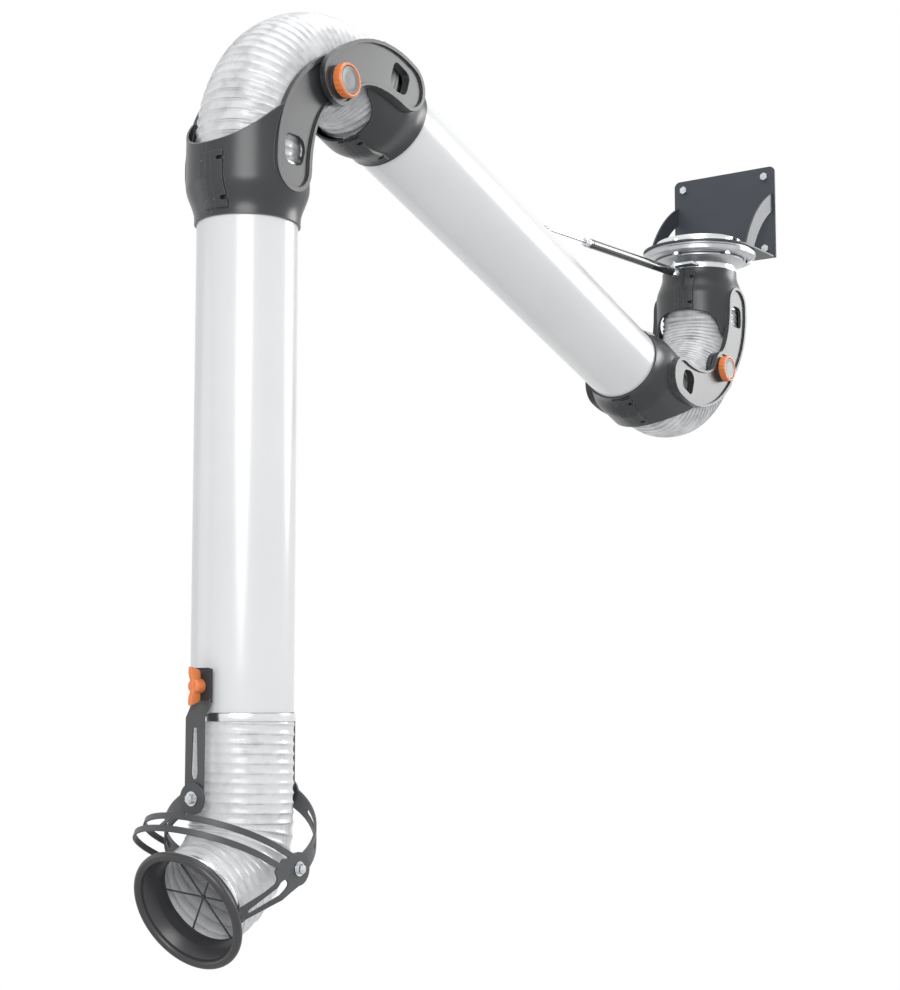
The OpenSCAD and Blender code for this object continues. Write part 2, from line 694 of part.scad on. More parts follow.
module wing_knob() {
    color(orange) difference() {
        union() {
            rod_x(wing_hub, knob_seat, knob_seat + wing_h - 8);
            rod_x(wing_hub - 2.5, knob_seat + 1, knob_seat + wing_h - 5);
            translate([0, wing_t / 2, 0]) rotate([90, 0, 0]) linear_extrude(height = wing_t) polygon([
                [knob_seat + 3, wing_span / 2 - 7], [knob_seat + wing_h, wing_span / 2],
                [knob_seat + wing_h, -wing_span / 2], [knob_seat + 3, 7 - wing_span / 2]]);
        }
        rod_x(stud_r + run_fit, knob_seat - 1, knob_seat + wing_h - 9);
    }
}
module wing_knob_front() { at_tube_end(true) translate([0, 0, stud_rise]) rotate([0, 0, 90]) wing_knob(); }
module wing_knob_rear() { at_tube_end(false) translate([0, 0, stud_rise]) rotate([0, 0, 90]) wing_knob(); }

// Gimbal: two slotted quarter bands from the swing axis down to the tilt axis
link_pin_r = 4;
link_in = hanger_r + sheet_t + link_gap;
link_out = link_in + sheet_t;
link_disc = 24;
link_corner = 97;
module rounded_band() {
    module block(h) {
        c = h - link_in + link_corner;
        f = link_in - link_corner;
        square([2 * h, 2 * f], center = true);
        square([2 * f, 2 * h], center = true);
        for (a = [-1, 1], b = [-1, 1]) translate([a * f, b * f]) circle(r = c);
    }
    difference() { block(link_out); block(link_in); }
}
module gimbal_link() {
    dx = link_in / sqrt(2);
    slope = atan2(-tilt_drop, 2 * dx);
    run = norm([tilt_drop, 2 * dx]);
    difference() {
        union() {
            intersection() {
                translate([0, 0, -tilt_drop - 30]) linear_extrude(height = tilt_drop + 60) intersection() {
                    rounded_band();
                    polygon([[0, 0], [0, 200], [-200, 200], [-200, 0]]);
                }
                rotate([0, 0, 45]) rotate([90, 0, 0]) translate([0, 0, -200]) linear_extrude(height = 400)
                    translate([-dx, -tilt_drop]) rotate([0, 0, -slope]) translate([0, -13]) square([run, 26]);
            }
            translate([0, link_in, 0]) rotate([-90, 0, 0]) cylinder(r = link_disc, h = sheet_t);
            translate([-link_in, 0, -tilt_drop]) rotate([0, -90, 0]) cylinder(r = link_disc, h = sheet_t);
        }
        rotate([-90, 0, 0]) cylinder(r = link_pin_r + run_fit, h = 200);
        translate([0, 0, -tilt_drop]) rotate([0, -90, 0]) cylinder(r = link_pin_r + run_fit, h = 200);
        rotate([0, 0, 45]) rotate([90, 0, 0]) translate([0, 0, -200]) linear_extrude(height = 400)
            translate([-dx, -tilt_drop]) rotate([0, 0, -slope]) for (x = [0.27, 0.54]) {
                translate([run * x, -4]) square([run * 0.2, 8]);
                for (e = [0, 0.2]) translate([run * (x + e), 0]) circle(r = 4);
            }
    }
}
module at_gimbal() { translate([0, lower_y, swing_z]) children(); }
module gimbal_link_left() { color(slate) at_gimbal() rotate([0, 0, 180]) mirror([1, 0, 0]) gimbal_link(); }
module gimbal_link_right() { color(slate) at_gimbal() mirror([1, 0, 0]) gimbal_link(); }
module link_bolt(inner, outer) {
    rod_x(link_pin_r, inner - 1, outer + 9);
    rod_x(link_pin_r + 3, inner - 4, inner - 0.3);
    rod_x(11, outer + 0.3, outer + 1.8);
    hex_x(13, outer + 1.7, outer + 8);
}
module gimbal_bolts() {
    color(zinc) at_gimbal() for (a = [90, -90]) rotate([0, 0, a]) link_bolt(hanger_r, link_out);
}

// Hood: yoke with handle, nozzle, guard and clamp
yoke_in = link_out + link_gap;
yoke_out = yoke_in + sheet_t;
nozzle_r = tube_r + 6;
spigot_r = tube_r - 3.7;
module yoke_bolts() {
    color(zinc) at_hood() for (a = [0, 180]) rotate([0, 0, a]) link_bolt(link_in, yoke_out);
}
seat_rise = 14.5;
foot_h = 13;
seat_z = nozzle_reach - seat_rise;
arm_bend = 54;
// Side profile of a yoke arm: from the tilt axis down to its seat on the nozzle
module arm_profile() {
    a = yoke_in;
    b = nozzle_r + 0.1;
    polygon([[a, 30], [a, -arm_bend], [b, foot_h - seat_z], [b, -seat_z], [b + sheet_t, -seat_z],
        [b + sheet_t, foot_h + 0.5 - seat_z], [a + sheet_t, 0.5 - arm_bend], [a + sheet_t, 30]]);
}
// Face view of a yoke arm: Y away from the handle, Z against the hood's axis
module arm_face() {
    polygon([[22, 12], [23, -3], [21.5, -34], [21, -65], [21, -seat_z], [0, -seat_z], [0, -104], [-3, -73],
        [-7, -56], [-10, -50.5], [-14, -48.5], [-19, -48.5], [-24, -49], [-32, -26], [-16, 10]]);
}
module arm_slot() {
    polygon([[-3, -37], [0, -31.5], [5, -30], [9, -32], [11, -38], [12, -46], [15, -101], [12, -104],
        [9.5, -101], [0, -55], [-3.5, -44]]);
}
handle_in = yoke_in + 0.1;
handle_out = yoke_out + 0.1;
module handle_strap_band(leg, z0) {
    translate([0, 0, z0]) {
        translate([0, leg, 0]) intersection() {
            ring(handle_in, handle_out, 0, handle_strap);
            translate([-2 * handle_out, 0, -1]) cube([4 * handle_out, 2 * handle_out, handle_strap + 2]);
        }
        for (s = [-1, 1]) side(s) translate([handle_in, 18, 0]) cube([sheet_t, leg - 18, handle_strap]);
    }
}
module handle_bridge(half) {
    y0 = handle_leg + handle_in;
    y1 = y0 + handle_flare;
    prism_x(-4, 4) polygon([[y0 + 0.5, half], [y1 + 0.5, -half], [y1 + sheet_t - 0.5, -half],
        [y0 + sheet_t - 0.5, half]]);
}
module hood_yoke() {
    half = handle_gap / 2;
    color(slate) at_hood() difference() {
        union() {
            for (s = [-1, 1]) side(s) intersection() {
                rotate([90, 0, 0]) translate([0, 0, -80]) linear_extrude(height = 160) arm_profile();
                prism_x(60, 140) difference() {
                    union() { circle(r = 25); arm_face(); }
                    arm_slot();
                }
            }
            rotate([90 - handle_angle, 0, 0]) mirror([0, 1, 0]) {
                handle_strap_band(handle_leg, half);
                handle_strap_band(handle_leg + handle_flare, -half - handle_strap);
                for (s = [-1, 1]) side(s) {
                    translate([handle_in, 12, -half - handle_strap])
                        cube([sheet_t, 18, handle_gap + 2 * handle_strap]);
                }
                handle_bridge(half + 1);
            }
        }
        rod_x(link_pin_r + run_fit, -200, 200);
        for (s = [-1, 1]) side(s) rivet_spots() rod_x(2 + seat_fit, 60, 200);
    }
}
module rivet_spots() { for (y = [5, 16]) translate([0, y, 6 - seat_z]) children(); }
module yoke_rivets() {
    color(zinc) at_hood() for (s = [-1, 1]) side(s) rivet_spots() {
        rod_x(2, nozzle_r - 4, nozzle_r + sheet_t + 1.5);
        rod_x(3.4, nozzle_r + sheet_t + 0.6, nozzle_r + sheet_t + 1.8);
    }
}
throat_r = spigot_r - 2.3;
module hood_nozzle() {
    rim = nozzle_rim_d / 2;
    color(charcoal) at_hood() translate([0, 0, -nozzle_reach]) difference() {
        rotate_extrude() polygon(concat(
            [for (a = [-60:15:180]) [rim - 8 + 8 * cos(a), 8 - 8 * sin(a)]],
            [for (i = [1:5]) bezier([rim - 16, 8], [rim - 16, 15], [throat_r, 15], [throat_r, nozzle_depth], i / 5)],
            [[throat_r, nozzle_depth + spigot_len], [spigot_r, nozzle_depth + spigot_len],
                [spigot_r, nozzle_depth], [nozzle_r, nozzle_depth - 1], [nozzle_r, 13]]));
        for (s = [-1, 1]) side(s) translate([0, 0, nozzle_reach]) rivet_spots() rod_x(2 + seat_fit, 60, 120);
    }
}
spigot_len = 18;
guard_z = nozzle_depth + spigot_len + 1.6;
guard_hub = 3.6;
module wire_guard() {
    r = spigot_r - 1.5;
    color(slate) at_hood() translate([0, 0, guard_z - nozzle_reach]) {
        for (i = [0:5]) rotate([0, 0, 60 * i + 7]) rod_x(1.4, guard_hub - 0.7, r - 1);
        ring(r - 1.4, r + 1.4, -1.6, 1.6);
        cylinder(r = guard_hub, h = 4, center = true);
    }
}

// Hood hose ends
hood_hose_in = (tube_r - 3.4) * facet;
hood_hose_root = hood_hose_in + 1;
hood_hose_crest = hood_hose_root + rib_h;
spigot_out = 26;
spigot_in = 60;
module hose_spigot() {
    seat = tube_r - tube_wall - 0.2;
    color(zinc) translate([0, lower_y, lower_end]) difference() {
        rotate_extrude() polygon([[spigot_r - 2.3, -spigot_out], [spigot_r, -spigot_out], [spigot_r, -1],
            [seat, 2], [seat, spigot_in], [seat - 2.5, spigot_in], [seat - 2.5, 2]]);
        translate([0, 0, stud_rise]) rotate([90, 0, 0])
            cylinder(r = stud_r + 4, h = 3 * tube_r, center = true);
    }
}
module hood_hose_clamp() {
    translate([0, lower_y, lower_end - band_w - 1]) rotate([0, 0, 60]) hose_clamp(hood_hose_crest + 0.2, 0);
}
module nozzle_hose_clamp() {
    at_hood() translate([0, 0, nozzle_depth + 2 - nozzle_reach]) rotate([0, 0, 45])
        hose_clamp(hood_hose_crest + 0.2, 0, 6);
}

// Ribbed hoses. The path runs straight, round an arc and straight again in the YZ plane.
function path_point(s, a, r, turn) = let(arc = r * turn * PI / 180, t = (s - a) / r * 180 / PI)
    s < a ? [0, s, 0] : s < a + arc ? [r * (1 - cos(t)), a + r * sin(t), t]
    : [r * (1 - cos(turn)) + (s - a - arc) * sin(turn), a + r * sin(turn) + (s - a - arc) * cos(turn), turn];
function hose_ring(p, r) = [for (k = [0:hose_sides - 1]) let(g = 360 * k / hose_sides)
    [r * cos(g), p[0] + r * sin(g) * cos(p[2]), p[1] - r * sin(g) * sin(p[2])]];
module ribbed_hose(a, r, turn, b, inner, root, crest) {
    total = a + r * turn * PI / 180 + b;
    ribs = round(total / rib_pitch);
    outer_n = 2 * ribs + 1;
    m = hose_sides;
    rows = concat(
        [for (i = [0:outer_n - 1]) hose_ring(path_point(total * i / (outer_n - 1), a, r, turn), i % 2 == 0 ? root : crest)],
        [for (i = [inner_rings - 1:-1:0]) hose_ring(path_point(total * i / (inner_rings - 1), a, r, turn), inner)]);
    n = len(rows);
    polyhedron(points = [for (q = rows) for (v = q) v], faces = [for (i = [0:n - 1]) for (k = [0:m - 1])
        let(j = (i + 1) % n, l = (k + 1) % m) each [[i * m + k, j * m + k, j * m + l], [i * m + k, j * m + l, i * m + l]]]);
}
module elbow_bend_hose() {
    translate([0, 0, hose_start])
        ribbed_hose(hose_straight - hose_start, bend_r, bend_turn, hose_straight - hose_start, hose_in, hose_root, hose_crest);
}
module shoulder_hose() { color(film) at_neck() elbow_bend_hose(); }
module elbow_hose() { color(film) at_lower() elbow_bend_hose(); }
hood_tail = 45;
module hood_hose() {
    reach = nozzle_reach - nozzle_depth - 1;
    tangent = reach - hood_tail;
    color(film) translate([0, lower_y, lower_end - 2]) rotate([180, 0, 0])
        ribbed_hose(swing_drop + tilt_drop - 2 - tangent, tangent / tan(hood_tilt / 2), hood_tilt, hood_tail,
            hood_hose_in, hood_hose_root, hood_hose_crest);
}

wall_plate();
bracket_shelf();
bracket_gussets();
wall_bolts();
duct_collar();
fixed_flange();
flange_bolts();
swivel_bearing();
swivel_neck();
neck_collar();
spring_lug();
neck_fork_left();
neck_fork_right();
neck_fork_screws();
neck_hose_clamp();
upper_tube();
shoulder_fork_left();
shoulder_fork_right();
elbow_fork_left();
elbow_fork_right();
upper_fork_screws();
pivot_bolts();
friction_discs();
upper_hose_clamps();
spring_anchor();
lower_tube();
lower_fork_left();
lower_fork_right();
lower_fork_screws();
lower_hose_clamp();
hood_hose_clamp();
hose_spigot();
hanger_front();
hanger_rear();
hanger_pads();
hanger_studs();
wing_knob_front();
wing_knob_rear();
shoulder_knob_left();
shoulder_knob_right();
elbow_knob_left();
elbow_knob_right();
shoulder_cap_left();
shoulder_cap_right();
elbow_cap_left();
elbow_cap_right();
gimbal_link_left();
gimbal_link_right();
gimbal_bolts();
hood_yoke();
hood_nozzle();
wire_guard();
yoke_bolts();
yoke_rivets();
nozzle_hose_clamp();
spring_cylinder();
spring_rod();
shoulder_hose();
elbow_hose();
hood_hose();
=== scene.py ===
import math

import bpy
from mathutils import Matrix, Vector, noise


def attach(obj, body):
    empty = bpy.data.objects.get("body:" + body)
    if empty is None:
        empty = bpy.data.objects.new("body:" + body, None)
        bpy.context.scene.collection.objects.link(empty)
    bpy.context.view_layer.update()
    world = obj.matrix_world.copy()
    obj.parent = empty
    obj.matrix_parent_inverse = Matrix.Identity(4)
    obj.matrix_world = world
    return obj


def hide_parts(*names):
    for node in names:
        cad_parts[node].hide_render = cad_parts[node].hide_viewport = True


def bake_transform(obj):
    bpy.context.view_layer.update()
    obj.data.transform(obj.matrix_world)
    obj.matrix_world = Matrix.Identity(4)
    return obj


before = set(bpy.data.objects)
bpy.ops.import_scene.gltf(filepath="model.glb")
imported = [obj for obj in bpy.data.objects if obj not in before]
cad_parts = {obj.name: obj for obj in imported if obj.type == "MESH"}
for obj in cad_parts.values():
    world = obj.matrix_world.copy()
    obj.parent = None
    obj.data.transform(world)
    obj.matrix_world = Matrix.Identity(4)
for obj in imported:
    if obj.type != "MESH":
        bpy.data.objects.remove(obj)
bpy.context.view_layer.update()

print("frame loaded:", len(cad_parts), "nodes")

# Main sizes of the arm in metres and its angles in degrees, as in the part's source
arm = {
    "tubeR": 0.080, "tubeWall": 0.002, "upperLen": 0.883, "lowerLen": 0.765, "tubeIn": 0.072,
    "lift": 19.7, "forkReach": 0.245, "forkOffset": 0.104, "swivelY": -0.137, "neckRim": -0.1585,
    "shelfTop": -0.1045, "shelfLow": -0.1085, "swingDrop": 0.127, "tiltDrop": 0.105, "hoodTilt": 63.6,
    "knobIn": 0.1095, "mouthReach": 0.138,
}
tubeR = arm["tubeR"]
tubeBore = tubeR - arm["tubeWall"]


def shift(x, y, z):
    return Matrix.Translation((x, y, z))


def turn(axis, degrees):
    return Matrix.Rotation(math.radians(degrees), 4, axis)


def unit(value):
    return max(0.0, min(1.0, value))


lift = math.radians(arm["lift"])
shoulderY = arm["swivelY"] - arm["forkOffset"]
shoulderZ = arm["neckRim"] - arm["forkReach"]
span = arm["upperLen"] + 2 * arm["forkReach"]
elbowY = shoulderY - span * math.cos(lift) - 2 * arm["forkOffset"] * math.sin(lift)
elbowZ = shoulderZ + span * math.sin(lift) - 2 * arm["forkOffset"] * math.cos(lift)
lowerY = elbowY - arm["forkOffset"]
lowerRim = elbowZ - arm["forkReach"]
lowerEnd = lowerRim - arm["lowerLen"]
swingZ = lowerEnd - arm["swingDrop"]
tiltZ = swingZ - arm["tiltDrop"]

atUpper = (shift(0, shoulderY, shoulderZ) @ turn("X", 90 - arm["lift"])
           @ shift(0, -arm["forkOffset"], arm["forkReach"]))
atNeck = shift(0, arm["swivelY"], arm["neckRim"]) @ turn("X", 180)
atLower = shift(0, lowerY, lowerRim)
atHood = shift(0, lowerY, tiltZ) @ turn("X", -arm["hoodTilt"])
atWall = shift(0, arm["swivelY"], 0)


# Materials


def makeMaterial(name):
    mat = bpy.data.materials.new(name)
    mat.use_nodes = True
    return mat, mat.node_tree, mat.node_tree.nodes["Principled BSDF"]


def addNode(tree, kind, inputs=None, **settings):
    node = tree.nodes.new(kind)
    for key, value in settings.items():
        setattr(node, key, value)
    for key, value in (inputs or {}).items():
        if isinstance(value, bpy.types.NodeSocket):
            tree.links.new(value, node.inputs[key])
        else:
            node.inputs[key].default_value = value
    return node


def tones(tree, factor, low, high, stops=(0.35, 0.65)):
    ramp = addNode(tree, "ShaderNodeValToRGB", {"Fac": factor})
    ramp.color_ramp.elements[0].position, ramp.color_ramp.elements[1].position = stops
    ramp.color_ramp.elements[0].color = (*low, 1)
    ramp.color_ramp.elements[1].color = (*high, 1)
    return ramp.outputs["Color"]


# An edge gets a painted highlight, a paler tone, as its rounded normal leans from the true one: their dot
# product where that starts and ends.
# Below it are the sockets of the node that mixes the painted highlight in.
paintedHighlightSpan = (0.99, 0.90)
mixSocket = {"factor": 0, "first": 6, "second": 7, "result": 2}


# Two close tones in soft patches, a roughness that varies and a fine grain. patch and grain are noise scales.
# edge is the radius that rounds the corners in the light, and rim is a paler tone painted on these corners as
# a painted highlight.
def surface(name, low, high, patch, rough, grain, depth, metallic=0.0, coat=0.0, stretch=(1, 1, 1), edge=0.0,
            rim=None):
    mat, tree, bsdf = makeMaterial(name)
    coords = addNode(tree, "ShaderNodeTexCoord")
    mapped = addNode(tree, "ShaderNodeMapping", {"Vector": coords.outputs["Object"], "Scale": stretch})
    place = mapped.outputs["Vector"]
    patches = addNode(tree, "ShaderNodeTexNoise", {"Vector": place, "Scale": patch, "Detail": 4.0})
    fine = addNode(tree, "ShaderNodeTexNoise", {"Vector": place, "Scale": grain, "Detail": 2.0})
    colour = tones(tree, patches.outputs["Fac"], low, high)
    tree.links.new(colour, bsdf.inputs["Base Color"])
    spread = addNode(tree, "ShaderNodeMapRange", {"Value": fine.outputs["Fac"], "From Min": 0.3,
                                                  "From Max": 0.7, "To Min": rough[0], "To Max": rough[1]})
    tree.links.new(spread.outputs["Result"], bsdf.inputs["Roughness"])
    bump = addNode(tree, "ShaderNodeBump", {"Height": fine.outputs["Fac"], "Distance": depth,
                                            "Strength": 0.6})
    if edge:
        rounded = addNode(tree, "ShaderNodeBevel", {"Radius": edge}, samples=4)
        tree.links.new(rounded.outputs["Normal"], bump.inputs["Normal"])
    # Painted highlight: the rim tone is mixed into the colour where the rounded normal leans from the true
    # one
    if edge and rim:
        shape = addNode(tree, "ShaderNodeNewGeometry")
        same = addNode(tree, "ShaderNodeVectorMath", {0: rounded.outputs["Normal"],
                                                      1: shape.outputs["Normal"]}, operation="DOT_PRODUCT")
        highlightMask = addNode(tree, "ShaderNodeMapRange", {"Value": same.outputs["Value"], "From Min": paintedHighlightSpan[0],
                                                    "From Max": paintedHighlightSpan[1], "To Min": 0.0, "To Max": 1.0})
        highlightMix = addNode(tree, "ShaderNodeMix", data_type="RGBA")
        tree.links.new(highlightMask.outputs["Result"], highlightMix.inputs[mixSocket["factor"]])
        tree.links.new(colour, highlightMix.inputs[mixSocket["first"]])
        highlightMix.inputs[mixSocket["second"]].default_value = (*rim, 1)
        tree.links.new(highlightMix.outputs[mixSocket["result"]], bsdf.inputs["Base Color"])
    tree.links.new(bump.outputs["Normal"], bsdf.inputs["Normal"])
    bsdf.inputs["Metallic"].default_value = metallic
    bsdf.inputs["Coat Weight"].default_value = coat
    bsdf.inputs["Coat Roughness"].default_value = 0.1
    bsdf.inputs["Specular IOR Level"].default_value = 0.5
    return mat


bracketPaint = surface("bracketPaint", (0.043, 0.049, 0.061), (0.051, 0.058, 0.072),
                       patch=8, rough=(0.38, 0.5), grain=1400, depth=0.00006, edge=0.001)
strapPaint = surface("strapPaint", (0.060, 0.062, 0.067), (0.076, 0.078, 0.084),
                     patch=14, rough=(0.36, 0.5), grain=1600, depth=0.00006, edge=0.0006)
# The fork plastic has a painted highlight: its rim tone pales its edges
forkPlastic = surface("forkPlastic", (0.032, 0.034, 0.037), (0.038, 0.040, 0.043),
                      patch=10, rough=(0.27, 0.34), grain=2200, depth=0.00003, edge=0.0010,
                      rim=(0.20, 0.204, 0.21))
nozzlePlastic = surface("nozzlePlastic", (0.044, 0.044, 0.047), (0.053, 0.053, 0.056),
                        patch=12, rough=(0.30, 0.38), grain=2200, depth=0.00003)
tubePaint = surface("tubePaint", (0.80, 0.81, 0.825), (0.83, 0.84, 0.85),
                    patch=5, rough=(0.20, 0.26), grain=700, depth=0.00001, coat=0.3)
zincPlate = surface("zincPlate", (0.54, 0.56, 0.585), (0.68, 0.70, 0.72),
                    patch=60, rough=(0.20, 0.32), grain=1500, depth=0.00003, metallic=1.0)
castMetal = surface("castMetal", (0.42, 0.43, 0.445), (0.52, 0.53, 0.545),
                    patch=20, rough=(0.24, 0.38), grain=900, depth=0.00008, metallic=1.0)
turnedMetal = surface("turnedMetal", (0.66, 0.67, 0.685), (0.78, 0.79, 0.80),
                      patch=9, rough=(0.16, 0.28), grain=500, depth=0.00003, metallic=1.0, stretch=(1, 1, 14))
clampSteel = surface("clampSteel", (0.66, 0.67, 0.68), (0.80, 0.81, 0.82),
                     patch=12, rough=(0.16, 0.26), grain=700, depth=0.00002, metallic=1.0, stretch=(1, 1, 10))
blackScrew = surface("blackScrew", (0.030, 0.030, 0.032), (0.050, 0.050, 0.052),
                     patch=80, rough=(0.22, 0.32), grain=1800, depth=0.00003, metallic=0.8)
frictionFelt = surface("frictionFelt", (0.10, 0.105, 0.11), (0.14, 0.145, 0.15),
                       patch=120, rough=(0.7, 0.85), grain=2500, depth=0.00010)
padRubber = surface("padRubber", (0.022, 0.022, 0.024), (0.032, 0.032, 0.034),
                    patch=60, rough=(0.6, 0.75), grain=2400, depth=0.00006)
orangePlastic = surface("orangePlastic", (0.84, 0.235, 0.070), (0.90, 0.275, 0.090),
                        patch=30, rough=(0.28, 0.38), grain=2400, depth=0.00003)
capPlastic = surface("capPlastic", (0.160, 0.162, 0.170), (0.188, 0.190, 0.198),
                     patch=40, rough=(0.30, 0.40), grain=2400, depth=0.00003)
slideRing = surface("slideRing", (0.74, 0.74, 0.72), (0.80, 0.80, 0.78),
                    patch=30, rough=(0.3, 0.4), grain=1600, depth=0.00002)
guardWire = surface("guardWire", (0.050, 0.052, 0.056), (0.070, 0.072, 0.078),
                    patch=60, rough=(0.35, 0.45), grain=2000, depth=0.00003)
springBlack = surface("springBlack", (0.014, 0.014, 0.016), (0.022, 0.022, 0.025),
                      patch=20, rough=(0.14, 0.22), grain=900, depth=0.00001, coat=0.6)
chromeRod = surface("chromeRod", (0.42, 0.43, 0.44), (0.52, 0.53, 0.54),
                    patch=40, rough=(0.10, 0.16), grain=1200, depth=0.00001, metallic=1.0)

# The film's tones run from a dark grey, which the painted shade lines beside the ribs reach, to a pale white
film = {"dark": (0.22, 0.23, 0.25), "pale": (0.775, 0.785, 0.80), "stops": (0.34, 1.04), "blotchShare": 0.40,
        "crumple": 0.0011, "rough": (0.20, 0.36), "coat": 0.35}


# White film on a wire coil: painted shade lines beside each rib, soft blotches, and painted light and shade
# on its creases
def hoseFilm():
    mat, tree, bsdf = makeMaterial("hoseFilm")
    # Its tone attribute carries painted shade lines beside the ribs and painted light and shade on the folds
    fold = addNode(tree, "ShaderNodeAttribute", attribute_name="fold")
    coords = addNode(tree, "ShaderNodeTexCoord")
    blotch = addNode(tree, "ShaderNodeTexNoise", {"Vector": coords.outputs["Object"], "Scale": 42.0,
                                                  "Detail": 5.0, "Roughness": 0.62})
    total = addNode(tree, "ShaderNodeMath", {0: blotch.outputs["Fac"], 1: film["blotchShare"],
                                             2: fold.outputs["Fac"]}, operation="MULTIPLY_ADD")
    tree.links.new(tones(tree, total.outputs["Value"], film["dark"], film["pale"], film["stops"]),
                   bsdf.inputs["Base Color"])
    fine = addNode(tree, "ShaderNodeTexNoise", {"Vector": coords.outputs["Object"], "Scale": 110.0,
                                                "Detail": 4.0, "Roughness": 0.6})
    bump = addNode(tree, "ShaderNodeBump", {"Height": fine.outputs["Fac"], "Distance": film["crumple"],
                                            "Strength": 0.6})
    tree.links.new(bump.outputs["Normal"], bsdf.inputs["Normal"])
    gloss = addNode(tree, "ShaderNodeMapRange", {"Value": blotch.outputs["Fac"], "From Min": 0.3,
                                                 "From Max": 0.7, "To Min": film["rough"][0],
                                                 "To Max": film["rough"][1]})
    tree.links.new(gloss.outputs["Result"], bsdf.inputs["Roughness"])
    bsdf.inputs["Coat Weight"].default_value = film["coat"]
    return mat


filmWhite = hoseFilm()
print("materials made")


# Mesh helpers


def makePiece(name, verts, faces, mat, body, replaced=(), place=None, sharp=32, attribute=None):
    mesh = bpy.data.meshes.new(name)
    mesh.from_pydata([tuple(place @ Vector(v)) for v in verts] if place else verts, [], faces)
    mesh.validate()
    mesh.update()
    if attribute:
        values = mesh.attributes.new(attribute[0], "FLOAT", "POINT")
        values.data.foreach_set("value", attribute[1])
    mesh.shade_smooth()
    mesh.set_sharp_from_angle(angle=math.radians(sharp))
    mesh.materials.append(mat)
    obj = bpy.data.objects.new(name, mesh)
    bpy.context.scene.collection.objects.link(obj)
    if body:
        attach(obj, body)
    if replaced:
        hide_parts(*replaced)
    return obj


# Adds the vertices and faces of a second shape to those of a first one
def join(verts, faces, second):
    base = len(verts)
    verts += second[0]
    faces += [tuple(base + i for i in face) for face in second[1]]


# Rounds each corner of a closed profile. A third number in a point is its own radius.
def fillet(points, radius, steps):
    rounded, count = [], len(points)
    share, tiny = 0.45, 1e-6
    for i, point in enumerate(points):
        here = Vector(point[:2])
        before, after = Vector(points[i - 1][:2]) - here, Vector(points[(i + 1) % count][:2]) - here
        size = point[2] if len(point) > 2 else radius
        reach = min(size, before.length * share, after.length * share)
        if reach < tiny:
            rounded.append(tuple(here))
            continue
        start, end = here + before.normalized() * reach, here + after.normalized() * reach
        for k in range(steps + 1):
            t = k / steps
            spot = start * (1 - t) ** 2 + here * 2 * t * (1 - t) + end * t * t
            rounded.append(tuple(spot))
    return rounded


# A flat plate across X with a rounded rim. Its outline is given in Y and Z.
def slab(outline, thick, edge, steps=3):
    verts, faces, n = [], [], len(outline)
    area = sum(outline[i - 1][0] * outline[i][1] - outline[i][0] * outline[i - 1][1] for i in range(n))
    sign = 1 if area > 0 else -1
    layers = []
    for k in range(steps + 1):
        angle = math.pi / 2 * k / steps
        layers.append((thick / 2 - edge + edge * math.sin(angle), edge * (1 - math.cos(angle))))
    tiny, leastLean = 1e-9, 0.5
    for x, inset in [(-h, i) for h, i in reversed(layers)] + layers:
        for i in range(n):
            a, b, c = Vector(outline[i - 1]), Vector(outline[i]), Vector(outline[(i + 1) % n])
            u, w = (b - a).normalized(), (c - b).normalized()
            inward = Vector((-(u.y + w.y), u.x + w.x)) * sign
            inward /= max(inward.length, tiny)
            lean = abs(inward.dot(Vector((-u.y, u.x)) * sign))
            spot = b + inward * inset / max(leastLean, lean)
            verts.append((x, spot.x, spot.y))
    rows = 2 * len(layers)
    for r in range(rows - 1):
        for i in range(n):
            j = (i + 1) % n
            faces.append((r * n + i, r * n + j, (r + 1) * n + j, (r + 1) * n + i))
    faces.append(tuple(reversed(range(n))))
    faces.append(tuple((rows - 1) * n + i for i in range(n)))
    return verts, [tuple(reversed(f)) for f in faces] if sign < 0 else faces


# Turns a closed profile of (radius, height) points round Z. shape(angle, radius, height) may move a point.
def lathe(profile, steps, shape=None):
    verts, faces, rows = [], [], len(profile)
    for k in range(steps):
        angle = 2 * math.pi * k / steps
        for r, z in profile:
            if shape:
                r, z = shape(angle, r, z)
            verts.append((r * math.cos(angle), r * math.sin(angle), z))
    for k in range(steps):
        here, there = k * rows, ((k + 1) % steps) * rows
        for i in range(rows):
            j = (i + 1) % rows
            faces.append((here + i, there + i, there + j, here + j))
    return verts, faces


# A solid of revolution: the open profile starts and ends on the axis
def turned(profile, steps):
    verts, faces = [(0, 0, profile[0][1])], []
    inner = profile[1:-1]
    rows = len(inner)
    for k in range(steps):
        angle = 2 * math.pi * k / steps
        for r, z in inner:
            verts.append((r * math.cos(angle), r * math.sin(angle), z))
    verts.append((0, 0, profile[-1][1]))
    for k in range(steps):
        here, there = 1 + k * rows, 1 + ((k + 1) % steps) * rows
        faces.append((0, there, here))
        for i in range(rows - 1):
            faces.append((here + i, there + i, there + i + 1, here + i + 1))
        faces.append((here + rows - 1, there + rows - 1, len(verts) - 1))
    return verts, faces


# A frame whose Z runs along X, outwards on side s
def alongX(x, y, z, s):
    return shift(x, y, z) @ turn("Y", 90 * s)


# CAD nodes that keep their shape get a finish and softened edges of the given width

